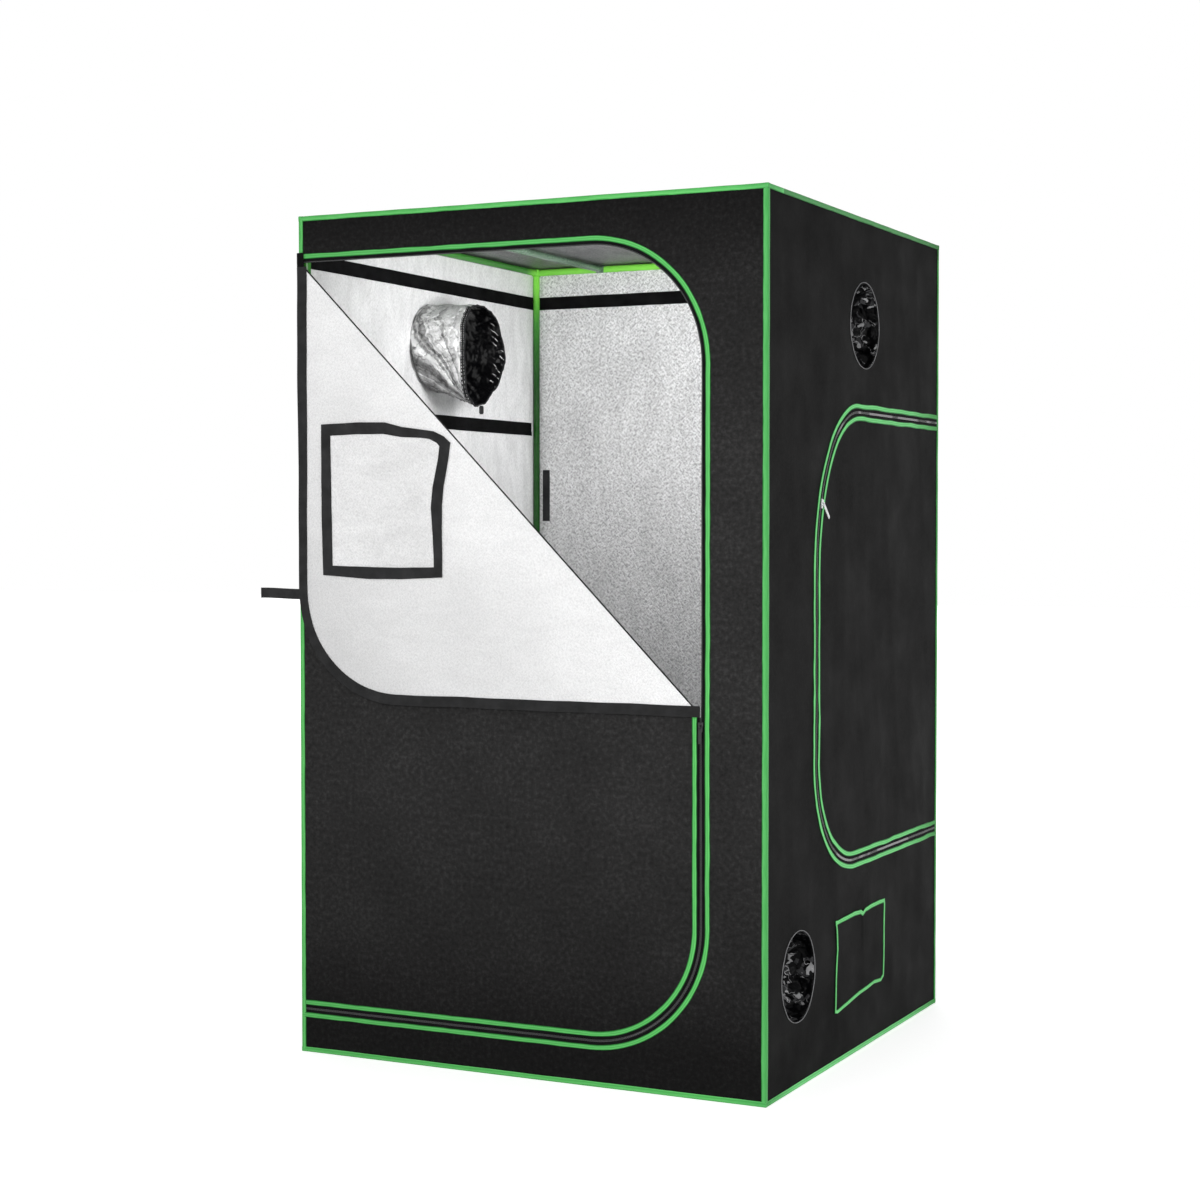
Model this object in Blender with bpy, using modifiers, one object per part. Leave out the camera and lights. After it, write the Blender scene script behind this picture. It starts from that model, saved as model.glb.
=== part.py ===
"""Indoor grow tent: a plug-together steel tube frame inside a zipped cloth shell.

Lengths are in metres. +X is to the right of the doorway, +Y to the back and +Z up. The origin is
the middle of the floor. The doorway faces -Y, with its upper right part folded down.
"""

import math

import bmesh
import bpy
from mathutils import Matrix, Quaternion, Vector

# Overall size, over the bound edges
WIDTH = 1.22
DEPTH = 1.22
HEIGHT = 2.03

# Cloth shell and its trim
FABRIC = 0.0015  # thickness of the coated cloth
BINDING = 0.0015  # thickness of the green tape sewn over seams and zips
BINDING_WIDTH = 0.012
SEAT = 0.0003  # gap between two pieces that touch
BAND = 0.0012  # thickness of the black band inside the walls
BAND_WIDTH = 0.036
BAND_BELOW_TOP = 0.103

# Tube frame
TUBE_RADIUS = 0.0095
TUBE_WALL = 0.001
TUBE_SIDES = 16
STUB_LENGTH = 0.06
SWAGE_LENGTH = 0.05  # the narrowed end of an upper post, inside the lower one
SWAGE_TAPER = 0.004
CORNER_ROUND = 0.003
STUB_ROOT = 0.0015  # how deep a stub starts inside its corner block
SADDLE = 0.0012  # thickness of the hook at a crossbar's end
SADDLE_WIDTH = 0.024
SADDLE_TAIL = 0.011  # how far the hook reaches below the rail's centre
CROSSBAR_PLACE = 0.386
DRAIN_RADIUS = 0.003
DRAIN_FROM_END = 0.03

# Zips
COIL_PROUD = 0.001
COIL_WIDTH = 0.0024
ZIP_TO_BINDING = 0.0155
ARC_STEPS = 12

# Front doorway, to the middle of its zip
DOOR_SIDE_MARGIN = 0.158  # from the tent's right edge
DOOR_TOP_MARGIN = 0.112
DOOR_SILL = 0.106
DOOR_CORNER = 0.275
FOLD_INSET = 0.002  # the folded door's left edge, from the tent's left edge
FOLD_HALF = 0.0035  # from the fold's axis to the middle of the cloth on either side
BEAD_RADIUS = 0.004
BEAD_END = 0.025  # the bead stops short of the doorway's edges, where the fold lies flat
FLAP_EASE = (0.0026, 0.0006)  # drawn in at the fold's right end and above its left end
FLAP_EASE_LENGTH = 0.02
DOOR_AXIS_LEFT = 0.0055  # the door's turning axis, from the tent's left edge
DOOR_AXIS_OUT = 0.0045  # and in front of its front

# Window in the front door, with the door closed, as shares of the flap's straight edges
WINDOW_FROM_RIGHT = 0.280
WINDOW_ACROSS = 0.333
WINDOW_FROM_TOP = 0.0689
WINDOW_UP = 0.3047
WINDOW_TRIM = 0.026
WINDOW_OVERLAP = 0.01
WINDOW_PANE = 0.001
TRIM = 0.0012

# Side doors, to the outer green tape
SIDE_FRONT = 0.292  # from the front edge
SIDE_BELOW_TOP = 0.457
SIDE_BOTTOM = 0.459
SIDE_TOP_CORNER = (0.30, 0.40)
SIDE_BOTTOM_CORNER = (0.28, 0.27)
SIDE_AXIS_OUT = 0.0005

# Duct ports and their socks
PORT_RADIUS = 0.104
LEFT_PORT_BACK = 0.010  # from the tent's middle
LEFT_PORT_BELOW_TOP = 0.265
RIGHT_PORT_BACK = 0.025
RIGHT_PORT_BELOW_TOP = 0.260
LOW_PORT_FRONT = 0.200  # from the tent's front
LOW_PORT_HEIGHT = 0.255
SOCK_CLOTH = 0.0012
SOCK_SIDES = 30
SOCK_ROOM = 0.0005
OPEN_SOCK_LENGTH = 0.155
OPEN_SOCK_TIP_SHARE = 0.56
OPEN_SOCK_FOLDS = 6
OPEN_SOCK_RINGS = 7
OPEN_SOCK_RIPPLE_SHARE = 0.035
TIED_SOCK_LENGTH = 0.13
TIED_SOCK_FOLDS = 6
LOCK_RADIUS = 0.006
LOCK_LENGTH = 0.022
LOCK_HOLE = 0.0018

# Vent with its flap
VENT_FRONT = -0.181
VENT_BACK = 0.176
VENT_LOW = 0.128
VENT_HIGH = 0.346
VENT_LAP = 0.02  # how far the flap reaches past the hole
FLAP_EDGE = 0.001  # how far the flap's bound edge stands out
NET = 0.001
NET_MARGIN = 0.008
NET_GAPS = (10, 6)
NET_BAR = 0.003

# Zip sliders and their pulls
SLIDER_WIDTH = 0.012
SLIDER_TAIL = 0.008
SLIDER_LENGTH = 0.022
SLIDER_THICK = 0.004
SLIDER_EDGE = 0.0006
SLIDER_BELOW_FOLD = 0.0115
ARCH_INNER = 0.0034
ARCH_THICK = 0.0012
ARCH_WIDTH = 0.0024
ARCH_SINK = 0.0006
ARCH_BELOW_TOP = 0.010
PULL_AXIS_OUT = 0.0016
PULL_THICK = 0.0015
PULL_BAR = 0.002
PULL_EYE = 0.0046
PULL_EYE_ROOM = 0.0004
PULL_WIDTH = 0.008
FRONT_PULL_LENGTH = 0.040
SIDE_PULL_LENGTH = 0.052
SIDE_PULL_TILT = 48.0
SIDE_SLIDER_BELOW_TOP = 0.2125  # from the zip's top
SIDE_SLIDER_TRAVEL = 0.09

# Straps
TIE_LENGTH = 0.115
TIE_WIDTH = 0.025
TIE_BELOW_TOP = 0.9125
TIE_AXIS_OUT = 0.0018
POST_STRAP_WIDTH = 0.022
POST_STRAP_BELOW_TOP = 0.584
POST_STRAP_LENGTH = 0.148
POST_STRAP_SIDE = 0.030  # from the tent's left edge to the strap

# Floor tray
TRAY = 0.0015
TRAY_LIP = 0.08

OVERRUN = 0.01  # how far a cutter passes the face it cuts

# Faces of the shell, worked out from the sizes above
WALL_X = WIDTH / 2 - BINDING - SEAT
WALL_Y = DEPTH / 2 - BINDING - SEAT
ROOF_TOP = HEIGHT - BINDING - SEAT
INSIDE_X = WALL_X - FABRIC
INSIDE_Y = WALL_Y - FABRIC
INSIDE_TOP = ROOF_TOP - FABRIC
WALL_FOOT = FABRIC + SEAT
WALL_HEAD = INSIDE_TOP - SEAT

# Centre lines of the frame
POST_X = INSIDE_X - SEAT - BAND - SEAT - TUBE_RADIUS
POST_Y = INSIDE_Y - SEAT - BAND - SEAT - TUBE_RADIUS
CORNER_HALF = TUBE_RADIUS + BAND
RAIL_TOP = INSIDE_TOP - SEAT - SADDLE - SEAT - TUBE_RADIUS
RAIL_LOW = FABRIC + SEAT + CORNER_HALF
BORE = TUBE_RADIUS - TUBE_WALL
SOCK_BASE = PORT_RADIUS + SOCK_ROOM + SOCK_CLOTH / 2
STUB_RADIUS = BORE - SEAT

LEFT_PORT = (LEFT_PORT_BACK, HEIGHT - LEFT_PORT_BELOW_TOP)
RIGHT_PORT = (RIGHT_PORT_BACK, HEIGHT - RIGHT_PORT_BELOW_TOP)
LOW_PORT = (-DEPTH / 2 + LOW_PORT_FRONT, LOW_PORT_HEIGHT)

# The front door's fold runs at 45 degrees, where x + z equals this
DOOR_RIGHT = WIDTH / 2 - DOOR_SIDE_MARGIN
DOOR_TOP = HEIGHT - DOOR_TOP_MARGIN
FOLD_SUM = DOOR_TOP - WIDTH / 2 + FOLD_INSET
FLAP_LEG = DOOR_TOP + DOOR_RIGHT - FOLD_SUM
DOOR_SHEET_Y = -WALL_Y + FABRIC / 2
FOLD_Y = DOOR_SHEET_Y - FOLD_HALF
FOLD_GAP = math.sqrt(2 * ((BEAD_RADIUS + SEAT) ** 2 - (FOLD_HALF - FABRIC / 2) ** 2))
STILE_X = WIDTH / 2 - BINDING_WIDTH
STILE_Y = DEPTH / 2 - BINDING_WIDTH

FRONT_DOOR = {
    "side": 1,
    "far": DOOR_RIGHT,
    "top": DOOR_TOP,
    "bottom": DOOR_SILL,
    "top_corner": (DOOR_CORNER, DOOR_CORNER),
    "bottom_corner": (DOOR_CORNER, DOOR_CORNER),
}
SIDE_DOOR = {
    "side": -1,
    "far": -DEPTH / 2 + SIDE_FRONT + ZIP_TO_BINDING,
    "top": HEIGHT - SIDE_BELOW_TOP - ZIP_TO_BINDING,
    "bottom": SIDE_BOTTOM + ZIP_TO_BINDING,
    "top_corner": tuple(r - ZIP_TO_BINDING for r in SIDE_TOP_CORNER),
    "bottom_corner": tuple(r - ZIP_TO_BINDING for r in SIDE_BOTTOM_CORNER),
}

# Each plane maps an outline's two coordinates and its thickness to the world's axes
PLANES = {
    "front": Matrix(((1, 0, 0), (0, 0, -1), (0, 1, 0))),
    "side": Matrix(((0, 0, 1), (1, 0, 0), (0, 1, 0))),
    "left": Matrix(((0, 0, -1), (-1, 0, 0), (0, 1, 0))),
    "flat": Matrix.Identity(3),
}

COLOURS = {
    "black_cloth": ((0.020, 0.020, 0.022), 0.85, 0.0),
    "green_tape": ((0.060, 0.430, 0.090), 0.60, 0.0),
    "green_enamel": ((0.090, 0.500, 0.080), 0.35, 0.2),
    "black_webbing": ((0.012, 0.012, 0.013), 0.90, 0.0),
    "zip_black": ((0.015, 0.015, 0.016), 0.35, 0.3),
    "zip_silver": ((0.700, 0.700, 0.700), 0.25, 1.0),
    "film": ((0.700, 0.710, 0.720), 0.30, 0.4),
    "clear_sheet": ((0.800, 0.820, 0.840), 0.10, 0.0),
    "net": ((0.030, 0.030, 0.030), 0.80, 0.0),
    "tray_cloth": ((0.550, 0.560, 0.570), 0.40, 0.2),
}


def clear_scene():
    for obj in list(bpy.data.objects):
        bpy.data.objects.remove(obj)


def make_collection(name):
    collection = bpy.data.collections.new(name)
    bpy.context.scene.collection.children.link(collection)
    return collection


def make_materials():
    made = {}
    for name, (colour, roughness, metallic) in COLOURS.items():
        material = bpy.data.materials.new(name)
        material.use_nodes = True
        shader = material.node_tree.nodes["Principled BSDF"]
        shader.inputs["Base Color"].default_value = (*colour, 1)
        shader.inputs["Roughness"].default_value = roughness
        shader.inputs["Metallic"].default_value = metallic
        made[name] = material
    return made


clear_scene()
TENT = make_collection("grow_tent")
CUTTERS = make_collection("grow_tent_cutters")
MATERIALS = make_materials()


def keep(obj, finish):
    """Puts a finished object in the tent's collection, with its material."""
    TENT.objects.link(obj)
    obj.data.materials.clear()
    obj.data.materials.append(MATERIALS[finish])
    return obj


def as_tool(obj):
    """Puts an object among the cutters, out of the render."""
    CUTTERS.objects.link(obj)
    obj.hide_render = True
    obj.display_type = "WIRE"
    return obj


def boolean(obj, tool, operation):
    modifier = obj.modifiers.new(operation.lower(), "BOOLEAN")
    modifier.operation = operation
    modifier.solver = "EXACT"
    modifier.object = tool


def mesh_object(name, form):
    """An object from a bmesh, which is freed."""
    mesh = bpy.data.meshes.new(name)
    form.to_mesh(mesh)
    form.free()
    return bpy.data.objects.new(name, mesh)


def shade_round(obj, angle=40.0):
    obj.data.shade_smooth()
    obj.data.set_sharp_from_angle(angle=math.radians(angle))


def plate(name, outlines, plane, low, high):
    """A flat piece: its outline and any holes, from low to high along the plane's normal."""
    matrix = PLANES[plane].to_4x4()
    matrix.translation = Vector([abs(part) for part in PLANES[plane].col[2]]) * (low + high) / 2
    return placed_plate(name, outlines, matrix, (high - low) / 2)


def placed_plate(name, outlines, matrix, half_thickness):
    """A flat piece in any plane, made as a filled curve and turned into a welded mesh."""
    curve = bpy.data.curves.new(name, "CURVE")
    curve.dimensions = "2D"
    curve.fill_mode = "BOTH"
    curve.extrude = half_thickness
    for outline in outlines:
        spline = curve.splines.new("POLY")
        spline.points.add(len(outline) - 1)
        for point, (u, v) in zip(spline.points, outline):
            point.co = (u, v, 0, 1)
        spline.use_cyclic_u = True
    guide = bpy.data.objects.new(name + "_outline", curve)
    CUTTERS.objects.link(guide)
    graph = bpy.context.evaluated_depsgraph_get()
    mesh = bpy.data.meshes.new_from_object(guide.evaluated_get(graph))
    mesh.name = name
    bpy.data.objects.remove(guide)
    form = bmesh.new()
    form.from_mesh(mesh)
    bmesh.ops.remove_doubles(form, verts=form.verts, dist=SEAT / 30)
    bmesh.ops.recalc_face_normals(form, faces=form.faces)
    form.to_mesh(mesh)
    form.free()
    obj = bpy.data.objects.new(name, mesh)
    obj.matrix_world = matrix
    return obj


def box(name, low, high):
    """An upright block between two corners."""
    form = bmesh.new()
    bmesh.ops.create_cube(form, size=1)
    size = Vector(high) - Vector(low)
    middle = (Vector(high) + Vector(low)) / 2
    bmesh.ops.transform(form, verts=form.verts, matrix=Matrix.Translation(middle) @ Matrix.Diagonal((*size, 1)))
    return mesh_object(name, form)


def rectangle(left, right, low, high):
    return [(left, low), (right, low), (right, high), (left, high)]


def rounded_rectangle(left, right, low, high, radius, steps=3):
    corners = (
        ((right - radius, low + radius), -90),
        ((right - radius, high - radius), 0),
        ((left + radius, high - radius), 90),
        ((left + radius, low + radius), 180),
    )
    points = []
    for centre, start in corners:
        points += arc(centre, (radius, radius), start, start + 90, steps)
    return points


def arc(centre, radii, start, end, steps=ARC_STEPS):
    """Points on an arc of an ellipse, between two angles in degrees."""
    points = []
    for i in range(steps + 1):
        angle = math.radians(start + (end - start) * i / steps)
        points.append((centre[0] + radii[0] * math.cos(angle), centre[1] + radii[1] * math.sin(angle)))
    return points


def circle(centre, radius, sides):
    return arc(centre, (radius, radius), 0, 360 * (sides - 1) / sides, sides - 1)


def turned(name, profile, sides=TUBE_SIDES):
    """A turned piece: a closed profile of (radius, height), down its outer side first."""
    mesh = bpy.data.meshes.new(name)
    points = [(radius, 0, height) for radius, height in profile]
    edges = [(i, (i + 1) % len(points)) for i in range(len(points))]
    mesh.from_pydata(points, edges, [])
    obj = bpy.data.objects.new(name, mesh)
    screw = obj.modifiers.new("turn", "SCREW")
    screw.steps = sides
    screw.render_steps = sides
    screw.use_merge_vertices = False
    screw.use_smooth_shade = True
    return obj


def tube(name, start, end, finish):
    """A straight hollow tube between the centres of its two ends."""
    start, end = Vector(start), Vector(end)
    length = (end - start).length
    profile = [(TUBE_RADIUS, length), (TUBE_RADIUS, 0), (BORE, 0), (BORE, length)]
    obj = turned(name, profile)
    obj.location = start
    obj.rotation_mode = "QUATERNION"
    obj.rotation_quaternion = Vector((0, 0, 1)).rotation_difference(end - start)
    return keep(obj, finish)


def zip_line(door, hinge, offset=0.0):
    """Points along a D-shaped zip, anticlockwise, moved to its inside, ending on its hinge line."""
    side = door["side"]
    far, top, bottom = side * door["far"], door["top"], door["bottom"]
    low_u, low_v = door["bottom_corner"]
    top_u, top_v = door["top_corner"]
    points = [(side * hinge, bottom)]
    points += arc((far - low_u, bottom + low_v), (low_u, low_v), -90, 0)
    points += arc((far - top_u, top - top_v), (top_u, top_v), 0, 90)
    points.append((side * hinge, top))
    if side < 0:
        points = [(-u, v) for u, v in reversed(points)]
    return offset_line(points, offset)


def offset_line(line, distance):
    """A line moved to its left, each point along its mean normal."""
    moved = []
    for i, (u, v) in enumerate(line):
        normals = []
        for first, second in ((i - 1, i), (i, i + 1)):
            if first >= 0 and second < len(line):
                step = Vector(line[second]) - Vector(line[first])
                normals.append(Vector((-step.y, step.x)).normalized())
        shift = (normals[0] + normals[-1]) * distance / (1 + normals[0].dot(normals[-1]))
        moved.append((u + shift.x, v + shift.y))
    return moved


def strip(line, inner, outer):
    """The outline of a tape along a line, between two offsets to its left."""
    return offset_line(line, inner) + offset_line(line, outer)[::-1]


def clipped(outline, level, sign):
    """The part of an outline where sign * (u + v - level) is not above zero."""
    kept = []
    for i, point in enumerate(outline):
        before = outline[i - 1]
        here = sign * (point[0] + point[1] - level)
        there = sign * (before[0] + before[1] - level)
        if here * there < 0:
            share = there / (there - here)
            kept.append(tuple(b + (p - b) * share for p, b in zip(point, before)))
        if here <= 0:
            kept.append(point)
    return kept


def split_line(line, level):
    """The line's part before it first crosses u + v = level, and the part after, sharing the point there."""
    for i in range(1, len(line)):
        before = line[i - 1][0] + line[i - 1][1] - level
        after = line[i][0] + line[i][1] - level
        if before < 0 <= after and line[i][1] > line[0][1]:
            share = before / (before - after)
            crossing = tuple(a + (b - a) * share for a, b in zip(line[i - 1], line[i]))
            return line[:i] + [crossing], [crossing] + line[i:]
    return line, []


def axis_empty(name, place, parent=None):
    """An empty on a joint's axis, which carries the pieces that turn or slide there."""
    empty = bpy.data.objects.new(name, None)
    empty.empty_display_size = PORT_RADIUS
    empty.location = place
    TENT.objects.link(empty)
    if parent:
        carry(parent, empty)
    return empty


def carry(parent, *children):
    """Parents each child and its cutters to the empty and leaves them where they are."""
    bpy.context.view_layer.update()
    for child in children:
        tools = [modifier.object for modifier in child.modifiers if modifier.type == "BOOLEAN"]
        for obj in [child, *tools]:
            obj.parent = parent
            obj.matrix_parent_inverse = parent.matrix_world.inverted()


def build_posts():
    low = RAIL_LOW + CORNER_HALF + SEAT
    high = RAIL_TOP - CORNER_HALF - SEAT
    middle = (low + high) / 2
    narrow_bore = STUB_RADIUS - TUBE_WALL
    swaged = [
        (TUBE_RADIUS, high),
        (TUBE_RADIUS, middle + SEAT),
        (STUB_RADIUS, middle + SEAT),
        (STUB_RADIUS, middle - SWAGE_LENGTH),
        (narrow_bore, middle - SWAGE_LENGTH),
        (narrow_bore, middle + SWAGE_TAPER),
        (BORE, middle + 2 * SWAGE_TAPER),
        (BORE, high),
    ]
    for side, x in (("left", -POST_X), ("right", POST_X)):
        for end, y in (("front", -POST_Y), ("back", POST_Y)):
            tube(f"post_lower_{end}_{side}", (x, y, low), (x, y, middle), "green_enamel")
            upper = turned(f"post_upper_{end}_{side}", swaged)
            upper.location = (x, y, 0)
            keep(upper, "green_enamel")


def build_rails():
    reach_x = POST_X - CORNER_HALF - SEAT
    reach_y = POST_Y - CORNER_HALF - SEAT
    for level, z in (("top", RAIL_TOP), ("bottom", RAIL_LOW)):
        for end, y in (("front", -POST_Y), ("back", POST_Y)):
            tube(f"{level}_rail_{end}", (-reach_x, y, z), (reach_x, y, z), "green_enamel")
        for side, x in (("left", -POST_X), ("right", POST_X)):
            tube(f"{level}_rail_{side}", (x, -reach_y, z), (x, reach_y, z), "green_enamel")


def stub_cluster(name, directions):
    """The three pegs of a corner block, clear of each other."""
    form = bmesh.new()
    start = CORNER_HALF - STUB_ROOT
    length = STUB_LENGTH + STUB_ROOT
    for direction in directions:
        turn = Vector((0, 0, 1)).rotation_difference(direction).to_matrix().to_4x4()
        place = Matrix.Translation(direction * (start + length / 2))
        bmesh.ops.create_cone(
            form,
            cap_ends=True,
            segments=TUBE_SIDES,
            radius1=STUB_RADIUS,
            radius2=STUB_RADIUS,
            depth=length,
            matrix=place @ turn,
        )
    return as_tool(mesh_object(name, form))


def build_corners():
    for level, z, up in (("bottom", RAIL_LOW, 1), ("top", RAIL_TOP, -1)):
        for side, sx in (("left", -1), ("right", 1)):
            for end, sy in (("front", -1), ("back", 1)):
                name = f"corner_{level}_{end}_{side}"
                place = Vector((sx * POST_X, sy * POST_Y, z))
                half = Vector((CORNER_HALF, CORNER_HALF, CORNER_HALF))
                block = box(name, -half, half)
                block.location = place
                bevel = block.modifiers.new("round", "BEVEL")
                bevel.width = CORNER_ROUND
                bevel.segments = 2
                ways = (Vector((-sx, 0, 0)), Vector((0, -sy, 0)), Vector((0, 0, up)))
                pegs = stub_cluster(name + "_pegs", ways)
                pegs.location = place
                boolean(block, pegs, "UNION")
                keep(block, "green_enamel")


def saddle_outline(side):
    """The hook over a rail, seen along X: half a ring with a tail on the inner side."""
    inner = (TUBE_RADIUS + SEAT) / math.cos(math.pi / TUBE_SIDES)
    outer = TUBE_RADIUS + SEAT + SADDLE
    ring = arc((0, 0), (outer, outer), 0, 180, TUBE_SIDES // 2)
    back = arc((0, 0), (inner, inner), 180, 0, TUBE_SIDES // 2)
    points = ring + [(-outer, -SADDLE_TAIL), (-inner, -SADDLE_TAIL)] + back
    return [(side * POST_Y + side * u, RAIL_TOP + v) for u, v in points]


def build_crossbars():
    """Two hanging bars whose hooked ends sit over the front and back top rails."""
    inner_face = POST_Y - TUBE_RADIUS - SEAT - SADDLE
    for side, x in (("left", -CROSSBAR_PLACE), ("right", CROSSBAR_PLACE)):
        name = f"crossbar_{side}"
        half = inner_face + SADDLE / 2
        profile = [(TUBE_RADIUS, half), (TUBE_RADIUS, -half), (BORE, -half), (BORE, half)]
        bar = turned(name, profile)
        bar.location = (x, 0, RAIL_TOP)
        bar.rotation_euler = (math.radians(90), 0, 0)
        for end, sy in (("front", -1), ("back", 1)):
            low, high = x - SADDLE_WIDTH / 2, x + SADDLE_WIDTH / 2
            hook = plate(f"{name}_hook_{end}", [saddle_outline(sy)], "side", low, high)
            boolean(bar, as_tool(hook), "UNION")
        form = bmesh.new()
        for sy in (-1, 1):
            hole = Matrix.Translation((x, sy * (inner_face - DRAIN_FROM_END), RAIL_TOP - TUBE_RADIUS))
            bmesh.ops.create_cone(
                form,
                cap_ends=True,
                segments=8,
                radius1=DRAIN_RADIUS,
                radius2=DRAIN_RADIUS,
                depth=TUBE_RADIUS,
                matrix=hole,
            )
        boolean(bar, as_tool(mesh_object(f"{name}_drain_holes", form)), "DIFFERENCE")
        keep(bar, "green_enamel")


def add_coil(obj, line, sign, plane, face, out):
    """Fuses one side of the zip's chain to the cloth along its edge."""
    outline = strip(line, sign * SEAT, sign * (SEAT + COIL_WIDTH))
    low, high = sorted((face - out * FABRIC / 2, face + out * COIL_PROUD))
    boolean(obj, as_tool(plate(obj.name + "_coil", [outline], plane, low, high)), "UNION")


def build_front_wall():
    hole = zip_line(FRONT_DOOR, -STILE_X, -SEAT / 2)
    sheet = rectangle(-WALL_X, WALL_X, WALL_FOOT, WALL_HEAD)
    wall = plate("wall_front", [sheet, hole], "front", -WALL_Y, -INSIDE_Y)
    line = zip_line(FRONT_DOOR, -STILE_X)
    add_coil(wall, line, -1, "front", -WALL_Y, -1)
    keep(wall, "black_cloth")


def build_plain_walls():
    sheet = rectangle(-WALL_X, WALL_X, WALL_FOOT, WALL_HEAD)
    keep(plate("wall_back", [sheet], "front", INSIDE_Y, WALL_Y), "black_cloth")
    roof = rectangle(-WALL_X, WALL_X, -WALL_Y, WALL_Y)
    keep(plate("roof_panel", [roof], "flat", INSIDE_TOP, ROOF_TOP), "black_cloth")
    keep(plate("base_sheet", [roof], "flat", 0, FABRIC), "black_cloth")


def build_side_wall(name, sign, ports, vent):
    reach = INSIDE_Y - SEAT
    outlines = [rectangle(-reach, reach, WALL_FOOT, WALL_HEAD), zip_line(SIDE_DOOR, STILE_Y, -SEAT / 2)]
    outlines += [circle(port, PORT_RADIUS, SOCK_SIDES) for port in ports]
    if vent:
        outlines.append(vent_hole())
    low, high = sorted((sign * INSIDE_X, sign * WALL_X))
    wall = plate(name, outlines, "side", low, high)
    add_coil(wall, zip_line(SIDE_DOOR, STILE_Y), -1, "side", sign * WALL_X, sign)
    keep(wall, "black_cloth")


def vent_hole():
    return rectangle(VENT_FRONT + VENT_LAP, VENT_BACK - VENT_LAP, VENT_LOW + VENT_LAP, VENT_HIGH - VENT_LAP)


def face_windows(hinge, far, door):
    """Where a bound face shows no green tape: inside the zip's tape, and between it and the edges."""
    half = BINDING_WIDTH / 2
    inner = zip_line(door, hinge, half - ZIP_TO_BINDING)
    outer = zip_line(door, hinge, -half - ZIP_TO_BINDING)
    low, high = BINDING_WIDTH, HEIGHT - BINDING_WIDTH
    if door["side"] > 0:
        around = outer + [(hinge, high), (far, high), (far, low), (hinge, low)]
    else:
        around = outer + [(hinge, low), (far, low), (far, high), (hinge, high)]
    return inner, around


def build_binding():
    """The green tape over every edge of the tent and round the wall side of each zip, in one piece."""
    outer = Vector((WIDTH / 2, DEPTH / 2, HEIGHT))
    frame = box("green_binding", (-outer.x, -outer.y, SEAT), outer)
    hollow = box(
        "binding_hollow",
        (-outer.x + BINDING, -outer.y + BINDING, -OVERRUN),
        (outer.x - BINDING, outer.y - BINDING, outer.z - BINDING),
    )
    boolean(frame, as_tool(hollow), "DIFFERENCE")
    cuts = []
    inner, around = face_windows(-STILE_X, STILE_X, FRONT_DOOR)
    for name, outline in (("inner", inner), ("around", around)):
        low, high = -outer.y - OVERRUN, -outer.y + OVERRUN
        cuts.append(plate(f"binding_front_{name}", [outline], "front", low, high))
    inner, around = face_windows(STILE_Y, -STILE_Y, SIDE_DOOR)
    for side, x in (("left", -outer.x), ("right", outer.x)):
        for name, outline in (("inner", inner), ("around", around)):
            cuts.append(plate(f"binding_{side}_{name}", [outline], "side", x - OVERRUN, x + OVERRUN))
    back = rectangle(-STILE_X, STILE_X, BINDING_WIDTH, HEIGHT - BINDING_WIDTH)
    cuts.append(plate("binding_back_window", [back], "front", outer.y - OVERRUN, outer.y + OVERRUN))
    top = rectangle(-STILE_X, STILE_X, -STILE_Y, STILE_Y)
    cuts.append(plate("binding_top_window", [top], "flat", outer.z - OVERRUN, outer.z + OVERRUN))
    for cut in cuts:
        boolean(frame, as_tool(cut), "DIFFERENCE")
    keep(frame, "green_tape")


def build_inner_band():
    """The black band sewn round the inside of the left, back and right walls."""
    middle = HEIGHT - BAND_BELOW_TOP
    outer_x, outer_y = INSIDE_X - SEAT, INSIDE_Y - SEAT
    inner_x, inner_y = outer_x - BAND, outer_y - BAND
    front = -POST_Y
    outline = [
        (-outer_x, front),
        (-inner_x, front),
        (-inner_x, inner_y),
        (inner_x, inner_y),
        (inner_x, front),
        (outer_x, front),
        (outer_x, outer_y),
        (-outer_x, outer_y),
    ]
    band = plate("inner_band", [outline], "flat", middle - BAND_WIDTH / 2, middle + BAND_WIDTH / 2)
    keep(band, "black_webbing")


def build_floor_tray():
    """The lift-out tray: a shallow open box of sheet, inside the bottom rails."""
    half_x = POST_X - CORNER_HALF - 2 * SEAT
    half_y = POST_Y - CORNER_HALF - 2 * SEAT
    foot = WALL_FOOT
    tray = box("floor_tray", (-half_x, -half_y, foot), (half_x, half_y, foot + TRAY_LIP))
    form = bmesh.new()
    form.from_mesh(tray.data)
    lid = [face for face in form.faces if face.normal.z > 1 / 2]
    bmesh.ops.delete(form, geom=lid, context="FACES_ONLY")
    form.to_mesh(tray.data)
    form.free()
    wall = tray.modifiers.new("sheet", "SOLIDIFY")
    wall.thickness = TRAY
    wall.offset = -1
    wall.use_even_offset = True
    keep(tray, "tray_cloth")


def door_parts():
    """The closed front door's outline, cut in two at its fold. The flap is drawn in a little
    beside the fold's ends, where it swings wide as it turns over."""
    edge = zip_line(FRONT_DOOR, -STILE_X + SEAT, SEAT / 2)
    lower = clipped(edge, FOLD_SUM - FOLD_GAP, 1)
    whole = clipped(edge, FOLD_SUM, -1)
    right = max(whole, key=lambda point: point[0] - point[1])
    top = max(whole, key=lambda point: point[1] - point[0])
    upper = []
    for u, v in whole:
        if (u, v) == right:
            upper += [(u - FLAP_EASE[0], v + FLAP_EASE[0]), (u, v + FLAP_EASE_LENGTH)]
        elif (u, v) == top:
            upper += [(u + FLAP_EASE_LENGTH, v), (u, v - FLAP_EASE[1])]
        else:
            upper.append((u, v))
    return lower, upper


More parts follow.
